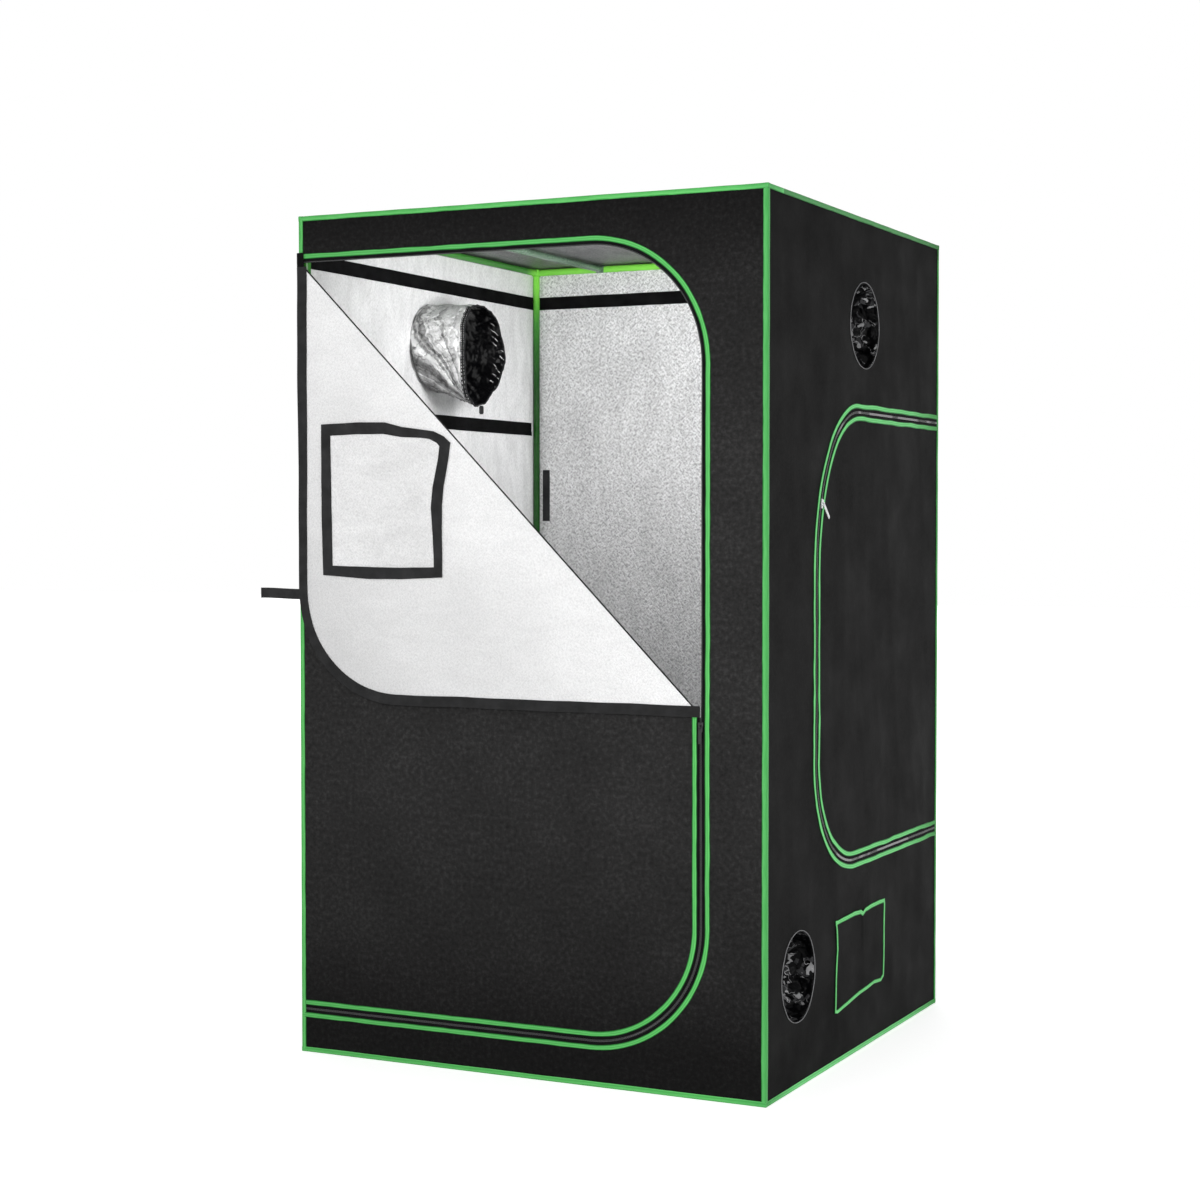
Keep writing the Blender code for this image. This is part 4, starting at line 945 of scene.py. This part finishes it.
# The corner tape's section in millimetres along its two faces: one leaf from its edge to the
# bend, then its mirror image; at the foot the second leaf, under the base, is left out
LEAF = [(12, 1.5), (12, 0.7), (11, 0.25), (9.4, 0.45), (7.5, 0.0), (4.5, -0.2), (1.6, 0.0)]
CORNER_SHAPE = LEAF + [(0.5, 0.5)] + [(b, a) for a, b in reversed(LEAF)] + [(1.5, 1.5)]
FOOT_SHAPE = LEAF + [(0.3, 0.4), (0.3, 1.5)]


def corner_tape(name, start, end, one, two, seed, shape=CORNER_SHAPE):
    """The tape folded over an edge of the tent; one and two point inwards along its two faces."""
    start, end, one, two = (Vector(p) for p in (start, end, one, two))
    length = (end - start).length
    count = max(2, math.ceil(length / TAPE_STEP))
    rings = []
    for k in range(count + 1):
        point = start + (end - start) * k / count
        run = length * k / count
        puff = 0.0006 * noise.noise(Vector((run * 13, seed, 1.0)))
        sway = 0.0007 * noise.noise(Vector((run * 6, seed, 7.0)))
        ring = []
        for a, b in shape:
            along = [a * MM + (sway if a > 8 else 0), b * MM + (sway if b > 8 else 0)]
            if min(a, b) < 1.4:
                along[0 if a < b else 1] -= puff
            low = point + one * along[0] + two * along[1]
            ring.append((low.x, low.y, max(low.z, SEAT)))
        rings.append(ring)
    return sweep(name, rings, [i / (len(shape) - 1) for i in range(len(shape))], GREEN)


def build_edge_tapes():
    x, y, z = WIDTH / 2, DEPTH / 2, HEIGHT
    parts = []
    seed = 0.0
    for sx in (-1, 1):
        for sy in (-1, 1):
            seed += 3.1
            foot, head = (sx * x, sy * y, SEAT), (sx * x, sy * y, z)
            parts.append(corner_tape("post_tape", foot, head, (-sx, 0, 0), (0, -sy, 0), seed))
    ends = [((-x, sy * y), (x, sy * y), (0, -sy, 0)) for sy in (-1, 1)]
    ends += [((sx * x, -y), (sx * x, y), (-sx, 0, 0)) for sx in (-1, 1)]
    for a, b, inwards in ends:
        seed += 3.1
        parts.append(corner_tape("top_tape", (*a, z), (*b, z), (0, 0, -1), inwards, seed))
        parts.append(corner_tape("foot_tape", (*a, 0), (*b, 0), (0, 0, 1), inwards, seed + 1, FOOT_SHAPE))
    line = zip_line(FRONT_DOOR, -STILE - 0.010)
    parts.append(ribbon("doorway_tape", line, FRONT, GREEN, -ZIP_TO_TAPE, seed=50.0))
    line = zip_line(SIDE_DOOR, STILE + 0.010)
    for (_, surface), seed in zip(SIDES, (60.0, 70.0)):
        parts.append(ribbon("side_tape", line, surface, GREEN, -ZIP_TO_TAPE, wave=SIDE_WAVE, seed=seed))
    stand_for(joined("green_edging", parts), "tent", "green_tape", "green_binding")


def zip_side(name, line, surface, sign, body, seed, chain=COIL):
    """Half of a zip: its coil and the woven tape beside it."""
    coil = strip(name + "_coil", line, surface, chain, sign * 0.0002, sign * 0.0026, 0.001, 0.0)
    near, far = sign * 0.0030, sign * 0.0092
    tape = strip(name + "_tape", line, surface, ZIP_TAPE, near, far, 0.0005, 0.0, seed=seed)
    stand_for(joined(name + "_zip", [coil, tape]), body, "black_webbing")


def front_door_line(part):
    """The zip line of the front door: part 0 on the lower door, part 1 on the flap."""
    return split_line(resampled(zip_line(FRONT_DOOR, -STILE + SEAT), TAPE_STEP), FOLD_SUM)[part]


def build_zips():
    low, high = front_door_line(0)[:-1], front_door_line(1)[2:-1]
    zip_side("doorway", zip_line(FRONT_DOOR, -STILE), FRONT, -1, "tent", 1.0)
    zip_side("door", low, FRONT, 1, "door", 2.0)
    zip_side("flap", high, FLAP, 1, "flap", 3.0)
    edge = ribbon("door_edging", low, FRONT, GREEN, ZIP_TO_TAPE, seed=4.0)
    stand_for(edge, "door", "green_tape", "door_binding")
    edge = ribbon("flap_edging", high, FLAP, GREEN, ZIP_TO_TAPE, seed=5.0)
    stand_for(edge, "flap", "green_tape", "flap_binding")
    wall_line, line = zip_line(SIDE_DOOR, STILE), zip_line(SIDE_DOOR, STILE - SEAT)
    for (side, surface), seed in zip(SIDES, (6.0, 7.0)):
        door = side + "_door"
        zip_side(side + "_wall", wall_line, surface, -1, "tent", seed, COIL_GLINTS)
        zip_side(door, line, surface, 1, door, seed + 2, COIL_GLINTS)
        edge = ribbon(door + "_edging", line, surface, GREEN, ZIP_TO_TAPE, wave=SIDE_WAVE, seed=seed + 4)
        stand_for(edge, door, "green_tape", side + "_panel_binding")


def inner_tape(name, body, line, surface, finish, near, far, bottom=INNER_FACE, wave=0.0010, seed=12.0):
    """A flat tape sewn to the inner face of a cloth."""
    tape = strip(name, line, surface, finish, near, far, -0.0009, bottom, wave, seed)
    stand_for(tape, body, "black_webbing")


def build_doors():
    edge = zip_line(FRONT_DOOR, -STILE + SEAT, SEAT / 2)
    gap = math.sqrt(2 * ((BEAD + SEAT) ** 2 - (FOLD_STANDOFF - FABRIC / 2) ** 2))
    lower = clipped(edge, FOLD_SUM - gap, 1)
    made = ("door_cloth", "door_panel", "door", "black_cloth", "hung", ["wall_front"])
    panel(*made, lower, FRONT, [BLACK, FILM])
    line = front_door_line(0)[:-2]
    inner_tape("door_inner_tape", "door", line, FRONT, EDGING, 0.0006, TAPE_REACH, -FABRIC, 0.0012, 9.0)
    outline = zip_line(SIDE_DOOR, STILE - SEAT, SEAT / 2)
    for side, surface in SIDES:
        door = side + "_door"
        made = (door + "_cloth", side + "_panel", door, "black_cloth", "hung", ["wall_" + side])
        panel(*made, outline, surface, [BLACK_SHADED, FILM_SIDE_LIT])


# The window trim's inner and outer edge as (x, z) on the folded flap, going round together.
# It has stretched and curled over towards the fold
TRIM_INNER = [
    (-0.516, 1.499), (-0.445, 1.502), (-0.367, 1.501), (-0.318, 1.493), (-0.263, 1.490), (-0.241, 1.487),
    (-0.222, 1.478), (-0.214, 1.470), (-0.217, 1.442), (-0.231, 1.377), (-0.235, 1.325), (-0.230, 1.259),
    (-0.228, 1.186), (-0.318, 1.184), (-0.407, 1.185), (-0.509, 1.188), (-0.511, 1.297), (-0.514, 1.393),
]
TRIM_OUTER = [
    (-0.542, 1.527), (-0.445, 1.530), (-0.362, 1.528), (-0.317, 1.517), (-0.252, 1.508), (-0.230, 1.505),
    (-0.203, 1.493), (-0.184, 1.477), (-0.190, 1.437), (-0.203, 1.376), (-0.206, 1.330), (-0.205, 1.250),
    (-0.205, 1.162), (-0.319, 1.157), (-0.408, 1.157), (-0.535, 1.164), (-0.540, 1.297), (-0.541, 1.394),
]


def wavy(ring, amount, seed):
    """A closed outline with slightly wandering edges."""

    def drift(u, v, seed):
        return noise.noise(Vector((u * 15, v * 15, seed))) * amount

    return [(u + drift(u, v, seed), v + drift(u, v, seed + 5)) for u, v in ring]


def flap_outline():
    """The flap's cut, eased at both ends of the fold so that it clears the lower door."""
    outline = []
    for u, v in clipped(zip_line(FRONT_DOOR, -STILE + SEAT, SEAT / 2), FOLD_SUM, -1):
        if abs(u + v - FOLD_SUM) > 1e-6:
            outline.append((u, v))
        elif u > 0:
            outline += [(u - 0.0026, v + 0.0026), (u, v + 0.020)]
        else:
            outline += [(u + 0.020, v), (u, v - 0.0006)]
    return outline


def fold_bead():
    """The cloth rolled round the fold's axis: silver where it faces the front on the flap's side."""
    inset, steps, sides = 0.006, 120, 14
    start = Vector((-STILE + inset, FOLD_Y, FOLD_SUM + STILE - inset))
    end = Vector((DOOR_RIGHT - inset, FOLD_Y, FOLD_SUM - DOOR_RIGHT + inset))
    way, rear = (end - start).normalized(), Vector((0, 1, 0))
    side = rear.cross(way)
    rings = []
    for k in range(steps + 1):
        point = start + (end - start) * k / steps
        swell = BEAD * (1 + 0.05 * noise.noise(Vector((k * 0.35, 2.0, 0.0))))
        angles = np.linspace(0, 2 * math.pi, sides + 1)[:-1]
        rings.append([point + (rear * math.cos(a) + side * math.sin(a)) * swell for a in angles])
    bead = sweep("fold", rings, np.linspace(0, 0.024, sides), BLACK)
    bead.data.materials.append(FILM_FLAP)
    for face in bead.data.polygons:
        turned = (face.center - start) - way * (face.center - start).dot(way)
        if turned.dot(side) > -0.25 * BEAD and turned.y < 0:
            face.material_index = 1
    return bead


def build_flap():
    upper = flap_outline()
    wide = [(0.5 * (a + c), 0.5 * (b + d)) for (a, b), (c, d) in zip(TRIM_INNER, TRIM_OUTER)]
    rings = (TRIM_INNER, TRIM_OUTER, wide)
    inner, outer, wide = ([(FOLD_SUM - z, FOLD_SUM - x) for x, z in ring] for ring in rings)
    inner, outer = (wavy(resampled(ring, 0.012, True), 0.0012, 3.0) for ring in (inner, outer))
    flap = sheet("flap_cloth", upper, FLAP, [BLACK, FILM_FLAP], [inner], step=0.011)
    flap = stand_for(joined("flap_cloth", [flap, fold_bead()]), "flap", "film", "door_flap")
    declare(upper, [inner])

    line = front_door_line(1)
    near = []
    for u, v in resampled(line, TAPE_STEP):
        # Folded, the tape stands out past the cloth's left edge, most towards the top
        past = ease((FOLD_SUM - u - 1.42) / 0.2) * ease((v - DOOR_TOP + 0.02) / 0.01)
        near.append(-0.0006 - 0.0024 * past)
    near, bottom = np.array(near), INNER_FACE - SEAT
    inner_tape("flap_inner_tape", "flap", line, FLAP, EDGING, near, TAPE_REACH, bottom, 0.0012, 8.0)
    made = ("window_tape", "window_trim", "flap", "black_webbing", None, None)
    panel(*made, outer, FLAP, [WEBBING] * 2, [inner], thick=0.0012, step=0.008, bottom=bottom - 0.001)
    made = ("window_sheet", "window_pane", "flap", "clear_sheet", "stretched", ["door_flap"])
    panel(*made, wide, FLAP, [PANE] * 2, thick=0.0008, step=0.012, bottom=INNER_FACE)
    made = ("window_blind", "window_cover", "flap", "black_cloth", "stretched", ["door_flap"])
    panel(*made, outer, FLAP, [BLACK] * 2, step=0.014, bottom=SEAT + FABRIC)


def build_inner_tapes():
    """The band round the inside, and the tapes that cover the zips inside."""
    middle, half = HEIGHT - 0.103, 0.018
    reach = INSIDE - SEAT - 0.0012
    parts = []
    for name, surface, begin in (("left", LEFT, -0.595), ("back", BACK, -reach), ("right", RIGHT, -0.595)):
        line, seed = [(begin, middle), (reach, middle)], 9.0 + len(parts)
        made = strip(name + "_band", line, surface, BAND, -half, half, -0.0012, INNER_FACE, 0.0008, seed)
        parts.append(made)
    stand_for(joined("band", parts), "tent", "black_webbing", "inner_band")
    line = zip_line(SIDE_DOOR, 0.583)
    for side, surface in SIDES:
        door, over = side + "_door", INNER_FACE - 0.0011
        inner_tape(side + "_inside_tape", "tent", line, surface, BAND, 0.0016, -TAPE_REACH)
        inner_tape(door + "_inner_tape", door, line, surface, BAND, 0.0125, 0.0003, over)
    line = zip_line(FRONT_DOOR, -0.583)
    inner_tape("front_inside_tape", "tent", line, FRONT, BAND, -0.0062, -0.034, seed=14.0)
    line = [(-0.6030, DOOR_TOP - 0.016), (-0.6042, DOOR_TOP + 0.002), (-0.6048, DOOR_TOP + 0.024)]
    end = strip("zip_end", line, FRONT, BAND, -0.0095, 0.0095, 0.0016, 0.0035, 0.0020, 16.0)
    stand_for(end, "tent", "black_webbing")


# The vent flap's edges have puckered along their tape: a notch in the head, a lifted corner
# at the foot
VENT_HEAD = [
    (0.181, 0.346), (0.143, 0.348), (0.090, 0.347), (0.040, 0.3445), (0.020, 0.3385), (0.008, 0.344),
    (-0.040, 0.3465), (-0.113, 0.345), (-0.172, 0.343),
]
VENT_FOOT = [
    (-0.172, 0.343), (-0.166, 0.320), (-0.162, 0.274), (-0.170, 0.204), (-0.173, 0.126), (-0.158, 0.1225),
    (-0.089, 0.129), (-0.003, 0.139), (0.055, 0.143), (0.100, 0.1475), (0.153, 0.143), (0.174, 0.152),
    (0.1815, 0.203), (0.1815, 0.266), (0.1845, 0.332), (0.181, 0.346),
]


def vent_lie(u, v):
    crease = math.exp(-(((u - 0.022 - 0.05 * (0.346 - v)) / 0.004) ** 2)) * ease((v - 0.20) / 0.08)
    billow = 0.0030 * math.exp(-(((u - 0.10) / 0.07) ** 2)) * math.exp(-(((v - 0.165) / 0.03) ** 2))
    slack = 0.0014 * noise.noise(Vector((u * 14, v * 5, 4.0))) * ease((VENT[3] - v) / 0.03)
    return slack + 0.0012 * crease + billow


def build_vent():
    outline = wavy(resampled(VENT_HEAD[:-1] + VENT_FOOT[:-1], 0.010, True), 0.0010, 12.0)
    surface, over = (right, vent_lie), SEAT + FABRIC
    top = ribbon("vent_top", VENT_HEAD, surface, GREEN, 0.0050, over, 0.0012, 21.0, 0.95)
    sides = ribbon("vent_sides", VENT_FOOT, surface, GREEN, 0.0030, over, 0.0016, 23.0, 0.80)
    stand_for(joined("vent_edging", [top, sides]), "vent_cover", "green_tape")
    made = ("vent_cloth", "vent_flap", "vent_cover", "black_cloth", "hung", ["wall_right"])
    panel(*made, outline, surface, [BLACK_SHADED, BLACK], step=0.008, bottom=over)

    margin, border, thread, columns, rows = 0.012, 0.008, 0.003, 10, 6
    left_u, right_u, low, high = VENT[0] + margin, VENT[1] - margin, VENT[2] + margin, VENT[3] - margin
    across, up = (right_u - left_u - 2 * border) / columns, (high - low - 2 * border) / rows
    holes = []
    for i in range(columns):
        for j in range(rows):
            u, v = left_u + border + i * across + thread / 2, low + border + j * up + thread / 2
            holes.append(rectangle(u, u + across - thread, v, v + up - thread))
    outline = rectangle(left_u, right_u, low, high)
    made = ("vent_mesh", "vent_net", "tent", "net", "stretched", ["wall_right"])
    panel(*made, outline, RIGHT, [NET] * 2, holes, thick=0.001, step=0.03, bottom=INNER_FACE)


def build_tray():
    """The lift-out floor tray, with its soft turned-up sides."""
    reach, lip = 0.5841, 0.08

    def floor_height(u, v):
        to_edge = reach - max(abs(u), abs(v))
        return 0.0012 * abs(noise.noise(Vector((u * 5, v * 5, 2.0)))) * ease(to_edge / 0.05)

    def ground(u, v, n):
        return (u, v, FOOT + FABRIC + n)

    square = rectangle(-reach, reach, -reach, reach)
    parts = [sheet("tray_floor", square, (ground, floor_height), [FILM_SHADED, BLACK], step=0.03)]
    for name, place in (
        ("front", lambda u, v, n: (u, -reach - n, v)),
        ("back", lambda u, v, n: (u, reach + n, v)),
        ("left", lambda u, v, n: (-reach - n, u, v)),
        ("right", lambda u, v, n: (reach + n, u, v)),
    ):

        def lean(u, v, seed=len(parts)):
            return 0.0028 * ease((v - FOOT) / lip) * (noise.noise(Vector((u * 6, v * 3, seed * 9.0))) - 0.5)

        side = rectangle(-reach, reach, FOOT, FOOT + lip)
        parts.append(sheet("tray_" + name, side, (place, lean), [BLACK, FILM_SHADED], step=0.02))
    tray = stand_for(joined("tray", parts), "tent", "tray_cloth", "floor_tray")
    side = 2 * (reach + lip)


# Duct socks


def crumpling(angle, depth, length, seed):
    """The sock cloth's folds at a point: soft swells, sharp creases, and a fan of folds drawn
    to the mouth's lowest point."""
    share = depth / length
    where = Vector((math.sin(angle) * 3.2 + share * 1.4, math.cos(angle) * 3.2, share * 3 + seed))
    sharp = 0.5 - abs(noise.noise(where * 1.25 + Vector((0, 0, 9))))
    fine = 0.5 - abs(noise.noise(where * 2.9 + Vector((0, 0, 17))))
    from_foot, from_mouth = 0.12 * (angle - math.pi), 1.04 * length - depth
    reach, fan = math.hypot(from_foot, from_mouth), math.atan2(from_foot, from_mouth)
    fold = 0.5 - abs(noise.noise(Vector((fan * 4.4, reach * 5, seed + 2))))
    drawn = fold * ease(reach / 0.05) * (1 - ease((reach - 0.10) / 0.16))
    return ease(share / 0.12) * (noise.noise(where) + 1.1 * sharp + 0.5 * fine - 0.4 + 1.4 * drawn)


def as_mesh(obj):
    """The object's mesh with its modifiers or its curve's thickness worked in."""
    return bpy.data.meshes.new_from_object(obj.evaluated_get(bpy.context.evaluated_depsgraph_get()))


def sock(name, port, sign, rings, around, crumple, seed, node, lining, hem_from=None):
    """A duct sock: rings are (depth, radius function of the angle from straight up)."""
    verts, uvs, faces, slots = [], [], [], []
    length = rings[-1][0]
    for k, (depth, radius_at) in enumerate(rings):
        for i in range(around):
            angle = 2 * math.pi * i / around
            radius = radius_at(angle)
            if k:
                radius += crumple * min(1, radius / 0.04) * crumpling(angle, depth, length, seed)
            x = sign * (INSIDE - SEAT - depth)
            verts.append((x, port[0] + radius * math.sin(angle), port[1] + radius * math.cos(angle)))
            uvs.append((PORT * angle, depth))
    for k in range(len(rings) - 1):
        for i in range(around):
            here, there = k * around + i, k * around + (i + 1) % around
            faces.append((here, there, there + around, here + around))
            slots.append(2 if hem_from is not None and rings[k][0] >= hem_from else 0)
    obj = mesh_object(name, verts, faces, [SOCK_SHADED, lining, HEM, lining], slots, uvs, 60)
    settle_normals(obj)
    middle = Vector((sign * (INSIDE - length / 2), port[0], port[1]))
    face = obj.data.polygons[len(obj.data.polygons) // 2]
    if (face.center - middle).dot(face.normal) < 0:
        obj.data.flip_normals()
    shell = obj.modifiers.new("cloth", "SOLIDIFY")
    shell.thickness = 0.0009
    shell.offset = 0
    shell.material_offset = shell.material_offset_rim = 1
    solid = as_mesh(obj)
    obj.modifiers.clear()
    obj.data = solid
    stand_for(obj, "tent", "film", node)
    length * 1.25
    return obj


def hem(name, points, radius, finish):
    """A closed round hem or cord through points."""
    curve = bpy.data.curves.new(name, "CURVE")
    curve.dimensions = "3D"
    curve.bevel_depth = radius
    curve.bevel_resolution = 3
    spline = curve.splines.new("POLY")
    spline.points.add(len(points) - 1)
    for point, place in zip(spline.points, points):
        point.co = (*place, 1)
    spline.use_cyclic_u = True
    path = bpy.data.objects.new(name, curve)
    bpy.context.scene.collection.objects.link(path)
    mesh = as_mesh(path)
    bpy.data.objects.remove(path)
    mesh.materials.clear()
    mesh.materials.append(finish)
    obj = bpy.data.objects.new(name, mesh)
    bpy.context.scene.collection.objects.link(obj)
    mesh.shade_smooth()
    stand_for(obj, "tent", "black_webbing")


def port_rim(name, port, surface):
    """The thin rim round a port on the wall's outer face."""
    place, height = surface
    ring = [place(u, v, 0.0006 + height(u, v)) for u, v in circle(port, PORT + 0.0005, 96)]
    hem(name, ring, 0.0011, RIM)


SOCK_BASE = PORT + 0.0011
OPEN_LENGTH, TIED_LENGTH = 0.155, 0.13
# The open mouth's radius in millimetres by its angle from straight up: drawn to a point low down
MOUTH_TURNS = (0, 27, 48, 73, 94, 108, 129, 155, 172, 180, 190, 203, 214, 226, 250, 281, 309, 331, 360)
MOUTH_RADII = (95, 99, 104, 110, 123, 130, 128, 134, 154, 160, 167, 163, 147, 118, 90, 86, 97, 104, 95)
# A tied sock by its depth: radius and ripple as shares, closed at its neck
NECK = 0.80
DEPTH_SHARES = (0, 0.05, 0.12, 0.22, 0.34, 0.46, 0.56, 0.65, 0.72, 0.77, NECK, 0.84, 0.88, 0.94, 1)
RADIUS_SHARES = (1, 0.995, 0.985, 0.95, 0.87, 0.74, 0.59, 0.43, 0.27, 0.13, 0.02, 0.09, 0.16, 0.26, 0.34)
RIPPLE_SHARES = (0, 0.01, 0.02, 0.045, 0.07, 0.10, 0.13, 0.17, 0.20, 0.22, 0.22, 0.21, 0.20, 0.21, 0.22)


def open_radius(angle, share):
    mouth = float(np.interp(math.degrees(angle), MOUTH_TURNS, MOUTH_RADII)) * MM
    belly = 0.014 * ease(share / 0.10) * (0.5 - 0.5 * math.cos(angle - 0.5)) * (1 - share)
    ripple = 0.020 * share * math.sin(6 * angle + 2 * share) * (0.5 + 0.5 * math.cos(angle))
    return (SOCK_BASE + belly) * (1 - share) + mouth * share + SOCK_BASE * ripple


def tied_radius(angle, share, seed):
    tables = (RADIUS_SHARES, RIPPLE_SHARES)
    radius, ripple = (float(np.interp(share, DEPTH_SHARES, table)) for table in tables)
    pleat = 0.6 * math.cos(6 * angle + 0.8 * share) + 0.4 * math.cos(17 * angle + seed)
    return SOCK_BASE * radius * (1 + ripple * pleat)


def build_socks():
    steps, around = 62, 200
    rings = [(OPEN_LENGTH * k / steps, lambda a, s=k / steps: open_radius(a, s)) for k in range(steps + 1)]
    obj = sock("left_sock", LEFT_PORT, -1, rings, around, 0.006, 4.0, "sock_left", LINING, 0.1425)
    lip = [tuple(v.co) for v in obj.data.vertices[steps * around : (steps + 1) * around]]
    hem("left_sock_hem", lip, 0.0022, WEBBING)
    for level, port, seed in (("upper", RIGHT_PORT, 14.0), ("lower", LOW_PORT, 24.0)):
        name = f"right_{level}_sock"
        shares = np.linspace(0, 1, 44)
        rings = [(TIED_LENGTH * s, lambda a, s=s, seed=seed: tied_radius(a, s, seed)) for s in shares]
        sock(name, port, 1, rings, 144, 0.004, seed, "sock_right_" + level, TIED)
        port_rim(name + "_rim", port, RIGHT)
        x = INSIDE - SEAT - TIED_LENGTH * NECK
        hem(name + "_tie", [(x, y, z) for z, y in circle(port[::-1], 0.006, 24)], 0.0024, WEBBING)
    port_rim("left_sock_rim", LEFT_PORT, LEFT)


# Straps and kept solids


def build_straps():
    length, half = 0.115, 0.0125
    root, height = -WIDTH / 2 - SEAT, HEIGHT - 0.9125
    outline = rectangle(root - length, root, height - half, height + half)
    plane = -DEPTH / 2 + BINDING - FABRIC / 2

    def hang(u, v, n):
        away = (root - u) / length
        return (u, plane - n, v + 0.003 * math.sin(away * 2.4) * away)

    def curl(u, v):
        away = (root - u) / length
        return 0.0012 * math.sin(away * 5) * away

    made = ("tie", "tie_strap", "tie", "black_webbing", None, None)
    panel(*made, outline, (hang, curl), [WEBBING] * 2, step=0.005)
    edge, high = -WIDTH / 2 + 0.030, HEIGHT - 0.584
    outline = rectangle(edge, edge + 0.022, high - 0.148, high)
    made = ("post_tag", "post_strap", "tent", "black_webbing", None, None)
    panel(*made, outline, BACK, [WEBBING] * 2, step=0.004, bottom=INNER_FACE)


# The finish of each solid that is kept, by how its name starts
KEPT = (
    (("post_lower", "post_upper", "top_rail", "bottom_rail", "corner_"), ENAMEL),
    (("crossbar",), BAR_HIGHLIGHTED),
    (("left_slider", "left_pull", "right_slider", "right_pull"), ZIP_SILVER),
    (("door_slider", "door_pull"), ZIP_BLACK),
    (("cord_lock",), PLASTIC),
)


def dress_nodes():
    for name, obj in NODES.items():
        for starts, finish in KEPT:
            if name.startswith(starts):
                obj.data.materials.clear()
                obj.data.materials.append(finish)


set_stage()
build_walls()
build_edge_tapes()
build_zips()
build_doors()
build_flap()
build_inner_tapes()
build_vent()
build_tray()
build_socks()
build_straps()
dress_nodes()
